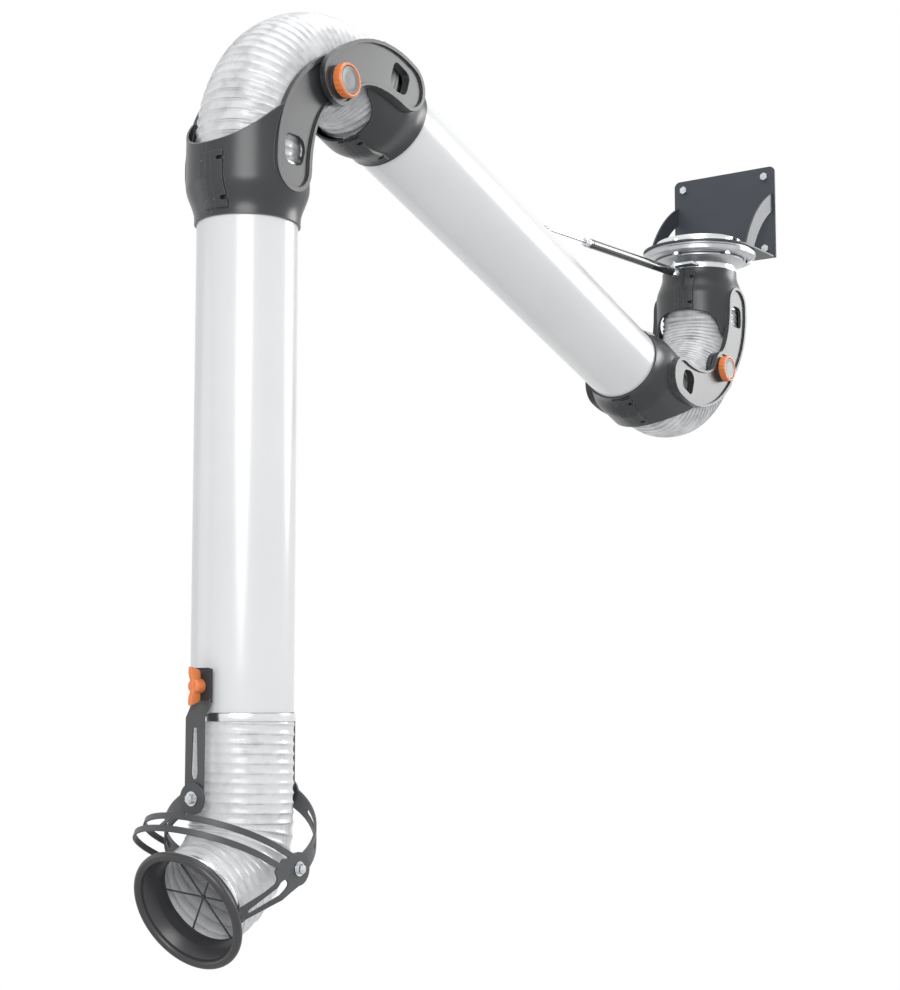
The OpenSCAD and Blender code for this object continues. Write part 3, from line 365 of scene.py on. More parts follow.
cadFinish = {
    "wall_plate": (bracketPaint, 0.0006), "bracket_shelf": (bracketPaint, 0.0006),
    "bracket_gussets": (bracketPaint, 0.0005), "wall_bolts": (zincPlate, 0.0005),
    "flange_bolts": (zincPlate, 0.0005), "swivel_bearing": (slideRing, 0.0003),
    "spring_lug": (zincPlate, 0.0006),
    "neck_fork_left": (forkPlastic, 0.0010), "neck_fork_right": (forkPlastic, 0.0010),
    "shoulder_fork_left": (forkPlastic, 0.0010), "shoulder_fork_right": (forkPlastic, 0.0010),
    "elbow_fork_left": (forkPlastic, 0.0010), "elbow_fork_right": (forkPlastic, 0.0010),
    "lower_fork_left": (forkPlastic, 0.0010), "lower_fork_right": (forkPlastic, 0.0010),
    "neck_fork_screws": (blackScrew, 0.0003), "upper_fork_screws": (blackScrew, 0.0003),
    "lower_fork_screws": (blackScrew, 0.0003), "neck_hose_clamp": (clampSteel, 0.0003),
    "upper_hose_clamps": (clampSteel, 0.0003), "lower_hose_clamp": (clampSteel, 0.0003),
    "pivot_bolts": (zincPlate, 0.0004), "friction_discs": (frictionFelt, 0.0003),
    "spring_anchor": (zincPlate, 0.0004), "hose_spigot": (clampSteel, 0.0003),
    "hanger_front": (strapPaint, 0.0006), "hanger_rear": (strapPaint, 0.0006),
    "hanger_pads": (padRubber, 0.0006), "hanger_studs": (zincPlate, 0.0004),
    "gimbal_link_left": (strapPaint, 0.0006), "gimbal_link_right": (strapPaint, 0.0006),
    "gimbal_bolts": (zincPlate, 0.0005), "hood_yoke": (strapPaint, 0.0006), "wire_guard": (guardWire, 0.0002),
    "yoke_bolts": (zincPlate, 0.0005), "yoke_rivets": (strapPaint, 0.0003),
}

soften = {"weld": 1e-6, "flat": 0.5, "corner": 38, "segments": 2, "weight": 80}


def dressNode(name, mat, edge):
    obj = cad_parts[name]
    obj.data.materials.clear()
    obj.data.materials.append(mat)
    weld = obj.modifiers.new("weld", "WELD")
    weld.merge_threshold = soften["weld"]
    flat = obj.modifiers.new("flat", "DECIMATE")
    flat.decimate_type = "DISSOLVE"
    flat.angle_limit = math.radians(soften["flat"])
    bevel = obj.modifiers.new("edges", "BEVEL")
    bevel.width = edge
    bevel.segments = soften["segments"]
    bevel.limit_method = "ANGLE"
    bevel.angle_limit = math.radians(soften["corner"])
    bevel.use_clamp_overlap = True
    bevel.harden_normals = False
    normals = obj.modifiers.new("normals", "WEIGHTED_NORMAL")
    normals.keep_sharp = False
    normals.weight = soften["weight"]


for node, (mat, edge) in cadFinish.items():
    dressNode(node, mat, edge)
print("CAD nodes finished:", len(cadFinish))


# Tubes, with their long walls cut into bands

tubes = {"steps": 128, "edge": 0.0006, "bands": 12, "longWall": 0.2}


def duct(name, low, high, place, body, node):
    wall = fillet([(tubeBore, low), (tubeR, low), (tubeR, high), (tubeBore, high)], tubes["edge"], 3)
    profile = []
    for a, b in zip(wall, wall[1:] + wall[:1]):
        profile.append(a)
        bands = tubes["bands"] if abs(b[1] - a[1]) > tubes["longWall"] else 1
        for k in range(1, bands):
            profile.append((a[0] + (b[0] - a[0]) * k / bands, a[1] + (b[1] - a[1]) * k / bands))
    verts, faces = lathe(profile, tubes["steps"])
    makePiece(name, verts, faces, tubePaint, body, [node], place)


duct("upperTube", -arm["tubeIn"], arm["upperLen"] + arm["tubeIn"], atUpper, "upper_arm", "upper_tube")
duct("lowerTube", -arm["lowerLen"], arm["tubeIn"], atLower, "lower_arm", "lower_tube")
print("tubes made")


# Swivel: collar, flange, neck

swivel = {
    "flangeR": 0.126, "flangeT": 0.020, "corner": 0.004, "step": 0.003, "stepLow": 0.007, "stepHigh": 0.005,
    "floor": 0.006, "lipR": 0.085, "pocketR": 0.100, "gap": 0.00005, "soft": 0.0008,
    "lobe": 0.003, "lobeIn": 0.0035, "lobeLow": 0.001, "lobeHigh": 0.006, "lobeHalf": 24, "lobeFade": 4,
    "lobesAt": (0, 120, 240),
    "collarR": 0.0975, "collarH": 0.019, "collarBore": 0.08025, "chamfer": 0.002, "fine": 0.0006,
    "dishR": 0.102, "dishGap": 0.001, "dishRim": 0.004, "ringIn": 0.002, "ringUp": 0.0126, "ringT": 0.0045,
    "neckR": 0.083, "neckH": 0.012, "seam": 0.0001, "steps": 144,
}


def lobed(angle, r, z):
    inside = r < swivel["flangeR"] - swivel["lobeIn"]
    if inside or z > swivel["flangeT"] - swivel["lobeHigh"] or z < swivel["lobeLow"]:
        return r, z
    fullTurn = 2 * math.pi
    best = min(abs((angle - math.radians(a) + math.pi) % fullTurn - math.pi) for a in swivel["lobesAt"])
    t = unit((math.radians(swivel["lobeHalf"]) - best) / math.radians(swivel["lobeFade"]))
    return r + swivel["lobe"] * t * t * (3 - 2 * t), z


flangeLow = arm["shelfLow"] - swivel["flangeT"]


def flangeProfile():
    r, high, bore = swivel["flangeR"], swivel["flangeT"], swivel["lipR"] + swivel["gap"]
    corner, inner = swivel["corner"], swivel["flangeR"] - swivel["step"]
    rim = [(r - corner, 0), (r, corner), (r, high - swivel["stepLow"]), (inner, high - swivel["stepHigh"]),
           (inner, high)]
    pocket = [(swivel["pocketR"], high), (swivel["pocketR"], swivel["floor"]), (bore, swivel["floor"])]
    return fillet([(bore, 0)] + rim + pocket, swivel["soft"], 3)


def collarProfile():
    r, high, bore, chamfer = swivel["collarR"], swivel["collarH"], swivel["collarBore"], swivel["chamfer"]
    rim = [(r, 0), (r, high - chamfer), (r - chamfer, high)]
    return fillet([(bore, 0)] + rim + [(bore, high)], swivel["fine"], 3)


def neckProfile():
    low, collar = arm["neckRim"] - arm["tubeIn"], arm["neckRim"] + swivel["neckH"]
    dish = flangeLow - swivel["dishGap"]
    ring, ringR = flangeLow + swivel["ringUp"], swivel["pocketR"] - swivel["ringIn"]
    high = ring + swivel["ringT"]
    skirt = [(tubeBore, low), (tubeR, low), (tubeR, collar), (swivel["neckR"], collar)]
    saucer = [(swivel["dishR"], dish - swivel["dishRim"]), (swivel["dishR"], dish), (swivel["lipR"], dish)]
    return fillet(skirt + saucer + [(swivel["lipR"], ring), (ringR, ring), (ringR, high), (tubeBore, high)],
                  swivel["fine"], 3)


def neckCollarProfile():
    r, bore = swivel["neckR"], tubeR + swivel["gap"]
    low, high = swivel["seam"], swivel["neckH"] - swivel["seam"]
    return fillet([(bore, low), (r, low), (r, high), (bore, high)], swivel["fine"], 3)


verts, faces = lathe(flangeProfile(), swivel["steps"], lobed)
makePiece("fixedFlange", verts, faces, castMetal, "wall_bracket", ["fixed_flange"],
          atWall @ shift(0, 0, flangeLow))
verts, faces = lathe(collarProfile(), swivel["steps"])
makePiece("ductCollar", verts, faces, turnedMetal, "wall_bracket", ["duct_collar"],
          atWall @ shift(0, 0, arm["shelfTop"]))
verts, faces = lathe(neckProfile(), swivel["steps"])
makePiece("swivelNeck", verts, faces, castMetal, "swivel", ["swivel_neck"], atWall)
verts, faces = lathe(neckCollarProfile(), swivel["steps"])
makePiece("neckCollar", verts, faces, turnedMetal, "swivel", ["neck_collar"],
          atWall @ shift(0, 0, arm["neckRim"]))
print("swivel made")


# Pivot knobs and their caps

knobs = {"radius": 0.028, "height": 0.015, "flutes": 20, "fluteDepth": 0.0011, "fluteIn": 0.004,
         "fluteLow": 0.0012, "fluteHigh": 0.0022, "fluteSharp": 3, "foot": 0.001, "footUp": 0.0015,
         "shoulder": 0.0015, "shoulderDown": 0.0024, "rimIn": 0.0045, "dishIn": 0.005, "dishDown": 0.0045,
         "soft": 0.0008, "capR": 0.0228, "boltR": 0.00805, "steps": 160, "capSteps": 96}

# The cap's outline: each point's distance in from the cap's rim and its height from the knob's top
capEdge = [(0.0006, -0.0044), (0, -0.0038), (0, -0.0022), (0.0008, -0.0012), (0.003, -0.0010),
           (0.0045, -0.0016)]
capMiddle = {"share": 0.5, "dip": -0.0014, "low": -0.0044, "high": -0.0012}


def fluted(angle, r, z):
    inside = r < knobs["radius"] - knobs["fluteIn"]
    if inside or z < knobs["fluteLow"] or z > knobs["height"] - knobs["fluteHigh"]:
        return r, z
    wave = 0.5 + 0.5 * math.cos(knobs["flutes"] * angle)
    return r - knobs["fluteDepth"] * wave ** knobs["fluteSharp"], z


def pivotKnob(name, y, z, s, body, node, capNode):
    h, r, bolt = knobs["height"], knobs["radius"], knobs["boltR"]
    side = alongX(s * arm["knobIn"], y, z, s)
    seat = h - knobs["dishDown"]
    profile = fillet([(bolt, 0), (r - knobs["foot"], 0), (r, knobs["footUp"]), (r, h - knobs["shoulderDown"]),
                      (r - knobs["shoulder"], h), (r - knobs["rimIn"], h), (r - knobs["dishIn"], seat),
                      (bolt, seat)], knobs["soft"], 3)
    verts, faces = lathe(profile, knobs["steps"], fluted)
    makePiece(name, verts, faces, orangePlastic, body, [node], side)
    c = knobs["capR"]
    capProfile = [(0, capMiddle["low"])] + [(c - inset, up) for inset, up in capEdge]
    capProfile += [(c * capMiddle["share"], capMiddle["dip"]), (0, capMiddle["high"])]
    verts, faces = turned(capProfile, knobs["capSteps"])
    makePiece(name + "Cap", verts, faces, capPlastic, body, [capNode], side @ shift(0, 0, h))


for label, y, z in (("shoulder", shoulderY, shoulderZ), ("elbow", elbowY, elbowZ)):
    for s, hand in ((-1, "left"), (1, "right")):
        pivotKnob(f"{label}Knob{hand.capitalize()}", y, z, s, f"{label}_knob_{hand[0]}",
                  f"{label}_knob_{hand}", f"{label}_cap_{hand}")
print("pivot knobs made")


# Wing knobs on the hood's hangers

wings = {"bolt": 0.00405, "hub": 0.011, "hubEdge": 0.009, "hubIn": 0.0025, "hubTop": 0.0055, "span": 0.060,
         "height": 0.024, "thick": 0.007, "slant": 0.007, "foot": 0.003, "peak": 0.017, "dip": 0.008,
         "dipDown": 0.004, "dipSoft": 0.012, "rise": 0.040, "seat": 0.0954, "hubSoft": 0.0010,
         "plateSoft": 0.0045, "edge": 0.0016, "steps": 64}


def wingKnob(name, front, body, node):
    place = (shift(0, lowerY, lowerEnd + wings["rise"]) @ turn("Z", 180 if front else 0) @ turn("X", -90)
             @ shift(0, 0, wings["seat"]))
    h, hub, half, bolt = wings["height"], wings["hub"], wings["span"] / 2, wings["bolt"]
    hubTop = h - wings["hubTop"]
    profile = fillet([(bolt, 0), (hub, 0), (hub, h - wings["hubEdge"]), (hub - wings["hubIn"], hubTop),
                      (bolt, hubTop)], wings["hubSoft"], 4)
    verts, faces = lathe(profile, wings["steps"])
    peak, dip, dipZ, soft = wings["peak"], wings["dip"], h - wings["dipDown"], wings["dipSoft"]
    plate = fillet([(half - wings["slant"], wings["foot"]), (half, h), (peak, h, soft), (dip, dipZ, soft),
                    (-dip, dipZ, soft), (-peak, h, soft), (-half, h), (wings["slant"] - half, wings["foot"])],
                   wings["plateSoft"], 6)
    join(verts, faces, slab(plate, wings["thick"], wings["edge"], 4))
    makePiece(name, verts, faces, orangePlastic, body, [node], place, sharp=40)


wingKnob("wingKnobFront", True, "wing_knob_f", "wing_knob_front")
wingKnob("wingKnobRear", False, "wing_knob_b", "wing_knob_rear")

cover = {"wide": 0.0378, "low": 0.018, "high": 0.0675, "corner": 0.006, "mid": 0.0934, "thick": 0.0038,
         "edge": 0.0009}


# The black cover round the top of a hanger strap, behind its wing knob
def strapCover(name, front):
    w, low, high = cover["wide"] / 2, cover["low"], cover["high"]
    outline = fillet([(-w, low), (w, low), (w, high), (-w, high)], cover["corner"], 6)
    verts, faces = slab(outline, cover["thick"], cover["edge"])
    place = shift(0, lowerY, lowerEnd) @ turn("Z", 270 if front else 90) @ shift(cover["mid"], 0, 0)
    makePiece(name, verts, faces, padRubber, "lower_arm", [], place, sharp=40)


strapCover("strapCoverFront", True)
strapCover("strapCoverRear", False)
print("wing knobs made")


# Hood nozzle

nozzle = {"rim": 0.0985, "roll": 0.007, "rollFrom": -68, "rollStep": 8, "crease": 0.0095, "depth": 0.026,
          "creaseUp": 0.0008, "coneIn": 0.0009, "coneEnd": 0.0012, "spigot": 0.018, "spigotR": 0.0763,
          "wall": 0.0023, "soft": 0.0006, "endSoft": 0.0004, "throatSoft": 0.0005, "seatR": 0.086,
          "seatIn": 0.0008, "seatUp": 0.001, "seatDown": 0.0018, "seatFoot": 0.0175, "steps": 160}


# The rolled rim, the cone behind it, the spigot and the seat round the spigot
def nozzleProfile():
    r, roll, crease = nozzle["rim"] - nozzle["roll"], nozzle["roll"], nozzle["crease"]
    spigotR, seatR, depth, soft = nozzle["spigotR"], nozzle["seatR"], nozzle["depth"], nozzle["soft"]
    throat, end, endSoft = spigotR - nozzle["wall"], depth + nozzle["spigot"], nozzle["endSoft"]
    turns = [math.radians(a) for a in range(nozzle["rollFrom"], 181, nozzle["rollStep"])]
    edge = [(r + roll * math.cos(a), roll - roll * math.sin(a)) for a in turns]
    cone = [(r - roll, crease - nozzle["creaseUp"]), (r - roll - soft, crease),
            (spigotR - nozzle["coneIn"], depth - soft), (spigotR - nozzle["coneEnd"], depth + soft)]
    spigot = [(throat, end - nozzle["throatSoft"]), (throat + endSoft, end), (spigotR - endSoft, end),
              (spigotR, end - endSoft), (spigotR, depth + soft), (spigotR + soft, depth)]
    seat = [(seatR - nozzle["seatIn"], depth - nozzle["seatUp"]), (seatR, depth - nozzle["seatDown"]),
            (seatR, nozzle["seatFoot"])]
    return edge + cone + spigot + seat


verts, faces = lathe(nozzleProfile(), nozzle["steps"])
atMouth = atHood @ shift(0, 0, -arm["mouthReach"])
makePiece("hoodNozzle", verts, faces, nozzlePlastic, "hood", ["hood_nozzle"], atMouth,
          sharp=40)
print("nozzle made")


# Hose clamps at the hood: a band, the housing of its screw and the screw

clamps = {"wall": 0.001, "wide": 0.016, "high": 0.009, "sink": 0.0002, "inset": 0.001, "slope": 0.0005,
          "soft": 0.0004, "screwR": 0.0032, "screwUp": 0.0045, "screwIn": 0.001, "screwOut": 0.005,
          "sides": 24, "steps": 128}
hoodClamp = {"width": 0.012, "up": -0.013, "turn": 60}
nozzleClamp = {"width": 0.006, "up": 0.002, "turn": 45}
boxFaces = [(0, 3, 2, 1), (4, 5, 6, 7), (0, 1, 5, 4), (1, 2, 6, 5), (2, 3, 7, 6), (3, 0, 4, 7)]


def bandClamp(name, r, width, place, body, node):
    wall, half, sides, inset = clamps["wall"], clamps["wide"] / 2, clamps["sides"], clamps["inset"]
    profile = fillet([(r, 0), (r + wall, 0), (r + wall, width), (r, width)], clamps["soft"], 2)
    verts, faces = lathe(profile, clamps["steps"])
    foot, top, box = r - clamps["sink"], r + clamps["high"] - inset, []
    roofInset = inset + clamps["slope"]
    for low, high in ((inset, roofInset), (width - inset, width - roofInset)):
        box += [(-half, foot, low), (half, foot, low), (half, top, high), (-half, top, high)]
    join(verts, faces, (box, boxFaces))
    screw, walls = [], []
    for x in (half - clamps["screwIn"], half + clamps["screwOut"]):
        for k in range(sides):
            g = 2 * math.pi * k / sides
            screw.append((x, r + clamps["screwUp"] + clamps["screwR"] * math.cos(g),
                          width / 2 + clamps["screwR"] * math.sin(g)))
    for k in range(sides):
        j = (k + 1) % sides
        walls.append((k, j, sides + j, sides + k))
    join(verts, faces, (screw, walls + [tuple(reversed(range(sides))), tuple(range(sides, 2 * sides))]))
    makePiece(name, verts, faces, clampSteel, body, [node], place)


# The CAD hoses have 18 flat sides, so their corners stand out beyond the radius of the sides
cadHose = {"sides": 18, "ribs": 0.0033, "hoodIn": 0.0034, "bigOut": 0.0003}
facet = math.cos(math.radians(180 / cadHose["sides"]))
crestR = (tubeR - cadHose["hoodIn"]) / facet + cadHose["ribs"]
clampR = crestR + clamps["sink"]
atHoodClamp = shift(0, lowerY, lowerEnd + hoodClamp["up"]) @ turn("Z", hoodClamp["turn"])
atNozzleClamp = atMouth @ shift(0, 0, nozzle["depth"] + nozzleClamp["up"]) @ turn("Z", nozzleClamp["turn"])
bandClamp("hoodHoseClamp", clampR, hoodClamp["width"], atHoodClamp, "lower_arm", "hood_hose_clamp")
bandClamp("nozzleHoseClamp", clampR, nozzleClamp["width"], atNozzleClamp, "hood", "nozzle_hose_clamp")
print("clamps made")


# Gas spring

gas = {"pinY": -0.253, "pinZ": -0.176, "anchorUp": 0.031, "anchorAt": 0.362, "reach": 0.5574, "length": 0.380,
       "start": 0.020, "radius": 0.010, "rod": 0.0025, "rodOpen": 0.00255, "rodIn": 0.02, "eyeDrop": 0.006,
       "cap": 0.012, "capTop": 0.004, "capSoft": 0.0008, "edgeLoop": 0.1, "steps": 48, "rodSteps": 32,
       "rodEdge": 0.0003, "rodTaper": 0.001}
clevis = {"tab": 0.005, "play": 0.0004, "half": 0.008, "thick": 0.003, "edge": 0.0006, "bridge": 0.006,
          "overlap": 0.002, "weld": 0.001, "bridgeEdge": 0.0004, "pinR": 0.005, "pinOut": 0.0045,
          "pinIn": 0.0002, "pinSoft": 0.0005, "earStep": 15, "steps": 32}

# The tube's outline. Each point of its foot is in from the wall and up from the low end. Those of its groove
# and its top are in from the wall and down from the high end.
tubeFoot = [(0.004, -0.001), (0.0015, 0.0005), (0, 0.003)]
tubeGroove = [(0, 0.024), (0.0007, 0.023), (0.0007, 0.0215), (0, 0.0205)]
tubeTop = [(0, gas["cap"]), (0.0006, gas["cap"] - 0.0005)]

anchorPoint = atUpper @ Vector((0, tubeR + gas["anchorUp"], gas["anchorAt"]))
pinPoint = Vector((0, gas["pinY"], gas["pinZ"]))
springDir = (anchorPoint - pinPoint).normalized()
atSpring = Matrix.Translation(pinPoint) @ springDir.to_track_quat("Z", "Y").to_matrix().to_4x4()
springLow, springHigh = gas["start"], gas["start"] + gas["length"]


def springTubeProfile():
    r, low, high, loop = gas["radius"], springLow, springHigh, gas["edgeLoop"]
    foot = [(r - inset, low + up) for inset, up in tubeFoot]
    head = [(r - inset, high - down) for inset, down in tubeGroove + tubeTop]
    return [(0, foot[0][1])] + foot + [(r, low + loop), (r, high - loop)] + head + [(0, head[-1][1])]


# Two ears, a bridge that joins them at the cylinder and a pin through them
def clevisShape():
    half, low, bridgeHigh = clevis["half"], springLow - clevis["bridge"], springLow + clevis["overlap"]
    gap, thick = clevis["tab"] / 2 + clevis["play"], clevis["thick"]
    turns = [math.radians(a) for a in range(0, 181, clevis["earStep"])]
    ear = [(-half, bridgeHigh), (half, bridgeHigh)]
    ear += [(half * math.cos(a), -half * math.sin(a)) for a in turns]
    verts, faces = [], []
    for s in (-1, 1):
        spots, sides = slab(ear, thick, clevis["edge"])
        join(verts, faces, ([(x + s * (gap + thick / 2), y, z) for x, y, z in spots], sides))
    bridge = [(-half, low), (-half, bridgeHigh), (half, bridgeHigh), (half, low)]
    join(verts, faces, slab(bridge, 2 * gap + clevis["weld"], clevis["bridgeEdge"]))
    pinR, tip, soft = clevis["pinR"], gap + clevis["pinOut"], clevis["pinSoft"]
    face = pinR - clevis["pinIn"]
    pin = [(0, -tip), (face, -tip), (pinR, soft - tip), (pinR, tip - soft), (face, tip), (0, tip)]
    spots, sides = turned(pin, clevis["steps"])
    join(verts, faces, ([(z, x, y) for x, y, z in spots], sides))
    return verts, faces


verts, faces = turned(springTubeProfile(), gas["steps"])
makePiece("springTube", verts, faces, springBlack, "gas_spring_cylinder", ["spring_cylinder"],
          atSpring)
capLow, capR, rodOpen = springHigh - gas["cap"], gas["radius"], gas["rodOpen"]
endCap = fillet([(rodOpen, capLow), (capR, capLow), (capR, springHigh - gas["capTop"]),
                 (capR - gas["capTop"], springHigh), (rodOpen, springHigh)], gas["capSoft"], 3)
verts, faces = lathe(endCap, gas["steps"])
makePiece("springEndCap", verts, faces, zincPlate, "gas_spring_cylinder", ["spring_cylinder"],
          atSpring)
verts, faces = clevisShape()
makePiece("springEye", verts, faces, zincPlate, "gas_spring_cylinder", ["spring_cylinder"],
          atSpring, sharp=40)
rodLow, rodHigh, rodR = springHigh - gas["rodIn"], gas["reach"] - gas["eyeDrop"], gas["rod"]
verts, faces = turned([(0, rodLow), (rodR - gas["rodEdge"], rodLow), (rodR, rodLow + gas["rodTaper"]),
                       (rodR, rodHigh), (0, rodHigh)], gas["rodSteps"])
makePiece("springRod", verts, faces, chromeRod, "gas_spring_rod", [], atSpring)
dressNode("spring_rod", chromeRod, gas["rodEdge"])
print("gas spring made")


# Hoses: a film over a wire coil, on a path that runs straight, round a bend and straight again

hose = {"skin": 0.0006, "around": 96, "perRib": 10, "plain": 0.012, "crown": 2.2, "bulge": 0.0002}
# Each coil: its pitch, rib height, the strength of the painted shade line beside its ribs, and the film's
# base tone
bigCoil = {"pitch": 0.0128, "ridge": 0.0026, "line": 0.80, "tone": 0.74}
hoodCoil = {"pitch": 0.0150, "ridge": 0.0019, "line": 0.50, "tone": 0.84}

# Each noise's scale round the hose, its scale along it and what is added to the seed
creases, crinkles, fades = (2.4, 34, 0), (6.5, 75, 9), (1.6, 16, 31)
# How much of the two noises goes into the film's depth and into its tone, where they paint light and shade on
# the folds, and how the painted shade lines fade
sagging = {"depth": 0.0013, "crease": 0.8, "crinkle": 0.55}
shading = {"crease": 0.12, "crinkle": 0.16, "fadeMid": 0.5, "fadeRange": 0.9}
# The painted shade line beside a rib and the fainter one on its other side: place, width and strength
ribShadeLine, faintShadeLine = (0.11, 0.055, 1.0), (0.90, 0.05, 0.35)


def pathPoint(s, straight, radius, bend):
    arc = radius * bend
    if s < straight:
        return 0.0, s, 0.0
    if s < straight + arc:
        t = (s - straight) / radius
        return radius * (1 - math.cos(t)), straight + radius * math.sin(t), t
    rest = s - straight - arc
    across = radius * (1 - math.cos(bend)) + rest * math.sin(bend)
    return across, straight + radius * math.sin(bend) + rest * math.cos(bend), bend


def folds(c, q, s, seed, kind):
    around, along, extra = kind
    return noise.noise(Vector((c * around, q * around, s * along + seed + extra)))


def drawn(phase, line):
    place, width, strength = line
    return strength * math.exp(-((phase - place) / width) ** 2)


# The vertices, faces and tone values, with their painted light and shade, of a hose, or of the stretch of it
# named by span
def ribbedHose(straight, radius, bend, tail, crest, seed, coil, span=(0.0, 1.0)):
    total = straight + radius * bend + tail
    ribs = round(total / coil["pitch"])
    rows = int(ribs * hose["perRib"] * (span[1] - span[0])) + 1
    n = hose["around"]
    verts, faces, fold = [], [], []
    for skin in (0, 1):
        for i in range(rows):
            share = span[0] + (span[1] - span[0]) * i / (rows - 1)
            s = total * share
            py, pz, t = pathPoint(s, straight, radius, bend)
            ends = unit(min(s, total - s) / hose["plain"])
            for k in range(n):
                g = 2 * math.pi * k / n
                c, q = math.cos(g), math.sin(g)
                phase = (ribs * share + g / (2 * math.pi)) % 1.0
                crown = abs(2 * phase - 1) ** hose["crown"]
                crease = folds(c, q, s, seed, creases)
                crinkle = folds(c, q, s, seed, crinkles)
                fade = shading["fadeMid"] + shading["fadeRange"] * folds(c, q, s, seed, fades)
                slack = (1 - crown) * ends
                sag = sagging["depth"] * (crease * sagging["crease"] + crinkle * sagging["crinkle"]) * slack
                drop = coil["ridge"] * (1 - crown) * ends - sag
                r = crest - max(drop, -hose["bulge"]) - skin * hose["skin"]
                verts.append((r * c, py + r * q * math.cos(t), pz - r * q * math.sin(t)))
                # Painted shade: a grey line on each side of a rib's crest darkens the film's tone there
                line = drawn(phase, ribShadeLine) + drawn(phase, faintShadeLine)
                tone = coil["tone"] - coil["line"] * line * unit(fade)
                # Painted light and shade: the tone is paler where the folds push the film out and darker
                # where they let it sag
                fold.append(unit(tone + crinkle * shading["crinkle"] + crease * shading["crease"]))
    half = rows * n
    for i in range(rows - 1):
        for k in range(n):
            a, b = i * n + k, i * n + (k + 1) % n
            faces.append((a, a + n, b + n, b))
            faces.append((half + a, half + b, half + b + n, half + a + n))
    low = (rows - 1) * n
    for k in range(n):
        j = (k + 1) % n
        faces.append((k, j, half + j, half + k))
        faces.append((low + j, low + k, half + low + k, half + low + j))
    return verts, faces, fold


def hosePiece(name, place, shape, seed, coil, node, span=(0.0, 1.0)):
    verts, faces, fold = ribbedHose(*shape, seed, coil, span)
    piece = makePiece(name, verts, faces, filmWhite, None, [], place, sharp=65,
                      attribute=("fold", fold))
    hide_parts(node)
    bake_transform(piece)


# The two big hoses turn by the angle between their tubes, on an arc that meets both straight runs
bigRun = {"start": 0.048, "straight": 0.120, "blend": (0.16, 0.84)}
bendTurn = math.radians(180 - (90 - arm["lift"]))
halfFold = math.radians((90 - arm["lift"]) / 2)
cornerRun = arm["forkReach"] + arm["forkOffset"] / math.tan(halfFold)
bendR = (cornerRun - bigRun["straight"]) * math.tan(halfFold)
bigCrest = (tubeR + cadHose["bigOut"]) / facet + cadHose["ribs"]
bigStraight = bigRun["straight"] - bigRun["start"]
bigShape = (bigStraight, bendR, bendTurn, bigStraight, bigCrest)
neckHose = atNeck @ shift(0, 0, bigRun["start"])
lowHose = atLower @ shift(0, 0, bigRun["start"])


def bigHose(name, place, seed, node):
    hosePiece(name, place, bigShape, seed, bigCoil, node)


bigHose("shoulderHose", neckHose, 3.0, "shoulder_hose")
bigHose("elbowHose", lowHose, 11.0, "elbow_hose")

# The hood hose is one path in two lengths, which meet where its bend starts
hoodRun = {"gap": 0.002, "lip": 0.001, "tail": 0.045, "seed": 23.0, "blendFrom": 0.06, "blendIn": 0.044}
reach = arm["mouthReach"] - nozzle["depth"] - hoodRun["lip"]
tangent = reach - hoodRun["tail"]
hoodTilt = math.radians(arm["hoodTilt"])
hoodStraight = arm["swingDrop"] + arm["tiltDrop"] - hoodRun["gap"] - tangent
hoodShape = (hoodStraight, tangent / math.tan(hoodTilt / 2), hoodTilt, hoodRun["tail"], crestR)
hoodHose = shift(0, lowerY, lowerEnd - hoodRun["gap"]) @ turn("X", 180)
split = hoodStraight / (hoodShape[0] + hoodShape[1] * hoodShape[2] + hoodShape[3])
hosePiece("hoodHoseUpper", hoodHose, hoodShape, hoodRun["seed"], hoodCoil,
          "hood_hose", (0.0, split))
hosePiece("hoodHoseLower", hoodHose, hoodShape, hoodRun["seed"], hoodCoil,
          "hood_hose", (split, 1.0))
print("hoses made")


# Studio: pale floor, soft lamps, and a camera where the photographer stood

studio = {"floorZ": -2.25, "floorY": -0.9, "floorR": 2.6, "floorSides": 96, "floorRough": 0.85,
          "floorLow": (0.80, 0.80, 0.80), "floorHigh": (0.84, 0.84, 0.84), "ambient": 0.36}
lamps = {
    "keyLamp": {"place": (2.3, -4.8, 0.3), "aim": (0, -1.0, -0.75), "size": 2.6, "power": 95.0},
    "fillLamp": {"place": (-2.6, -3.2, -0.6), "aim": (0, -1.0, -0.75), "size": 1.8, "power": 6.0},
    "topLamp": {"place": (0.4, -1.0, 2.4), "aim": (0, -1.0, -0.75), "size": 2.0, "power": 42.0},
    "sideLamp": {"place": (2.55, 3.15, 0.95), "aim": (0, -0.9, -0.3), "size": 2.8, "power": 120.0},
}
# The camera fitted to the photo: metres, degrees and pixels. The photo's larger side is its height.
view = {"place": (1.89573, -3.89289, -1.1280), "heading": 34.58, "pitch": 5.78, "focal": 1853.83,
        "centreY": 512.83, "high": 990, "sensor": 36, "near": 0.1, "far": 60}


def paleFloor():
    mat, tree, bsdf = makeMaterial("paleFloor")
    coords = addNode(tree, "ShaderNodeTexCoord")
    soft = addNode(tree, "ShaderNodeTexNoise", {"Vector": coords.outputs["Object"], "Scale": 1.5,
                                                "Detail": 2.0})
    colour = tones(tree, soft.outputs["Fac"], studio["floorLow"], studio["floorHigh"])
    tree.links.new(colour, bsdf.inputs["Base Color"])
    bsdf.inputs["Roughness"].default_value = studio["floorRough"]
    return mat


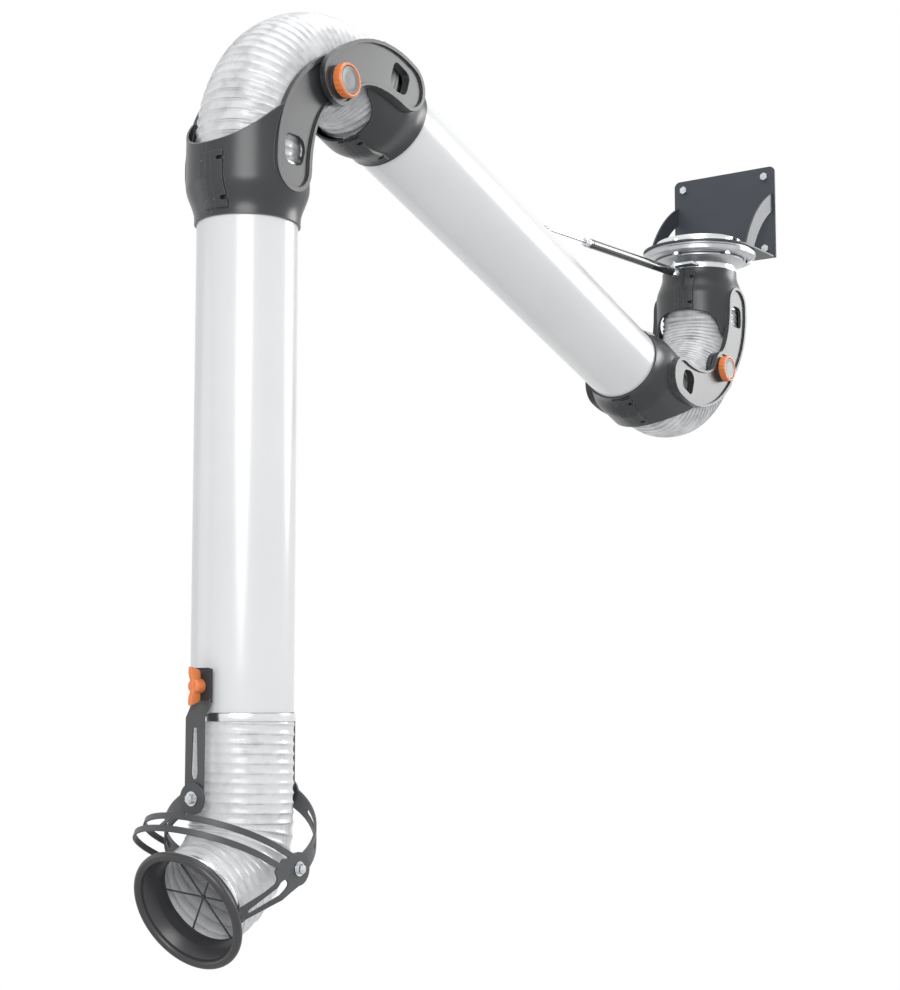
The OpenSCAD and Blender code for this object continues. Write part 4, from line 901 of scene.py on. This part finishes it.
def floorRim():
    sides, r = studio["floorSides"], studio["floorR"]
    turns = [2 * math.pi * k / sides for k in range(sides)]
    return [(r * math.cos(a), studio["floorY"] + r * math.sin(a), studio["floorZ"]) for a in turns]


floor = makePiece("floor", floorRim(), [tuple(range(studio["floorSides"]))], paleFloor(), None)

# The world is white where the camera sees it, in reflections and through clear things, and dimmer as a light
world = bpy.data.worlds.new("studioWorld")
bpy.context.scene.world = world
world.use_nodes = True
tree = world.node_tree
background = tree.nodes["Background"]
rays = addNode(tree, "ShaderNodeLightPath")
seen = rays.outputs["Is Camera Ray"]
for kind in ("Is Glossy Ray", "Is Transmission Ray"):
    either = addNode(tree, "ShaderNodeMath", {0: seen, 1: rays.outputs[kind]}, operation="MAXIMUM")
    seen = either.outputs["Value"]
level = addNode(tree, "ShaderNodeMapRange", {"Value": seen, "From Min": 0.0, "From Max": 1.0,
                                             "To Min": studio["ambient"], "To Max": 1.0})
background.inputs["Color"].default_value = (1, 1, 1, 1)
tree.links.new(level.outputs["Result"], background.inputs["Strength"])


def lamp(name, place, aim, size, power):
    data = bpy.data.lights.new(name, "AREA")
    data.shape, data.size, data.energy = "DISK", size, power
    obj = bpy.data.objects.new(name, data)
    bpy.context.scene.collection.objects.link(obj)
    obj.location = place
    obj.rotation_euler = (Vector(aim) - Vector(place)).to_track_quat("-Z", "Y").to_euler()


for name, values in lamps.items():
    lamp(name, **values)

camData = bpy.data.cameras.new("camera")
camera = bpy.data.objects.new("camera", camData)
bpy.context.scene.collection.objects.link(camera)
bpy.context.scene.camera = camera
camera.location = view["place"]
heading, pitch = math.radians(view["heading"]), math.radians(view["pitch"])
gaze = Vector((-math.sin(heading) * math.cos(pitch), math.cos(heading) * math.cos(pitch), math.sin(pitch)))
camera.rotation_mode = "QUATERNION"
camera.rotation_quaternion = gaze.to_track_quat("-Z", "Y")
camData.sensor_width = view["sensor"]
camData.lens = view["focal"] * view["sensor"] / view["high"]
camData.shift_y = (view["centreY"] - view["high"] / 2) / view["high"]
camData.clip_start, camData.clip_end = view["near"], view["far"]
bpy.context.scene.view_settings.view_transform = "Standard"
print("studio made")
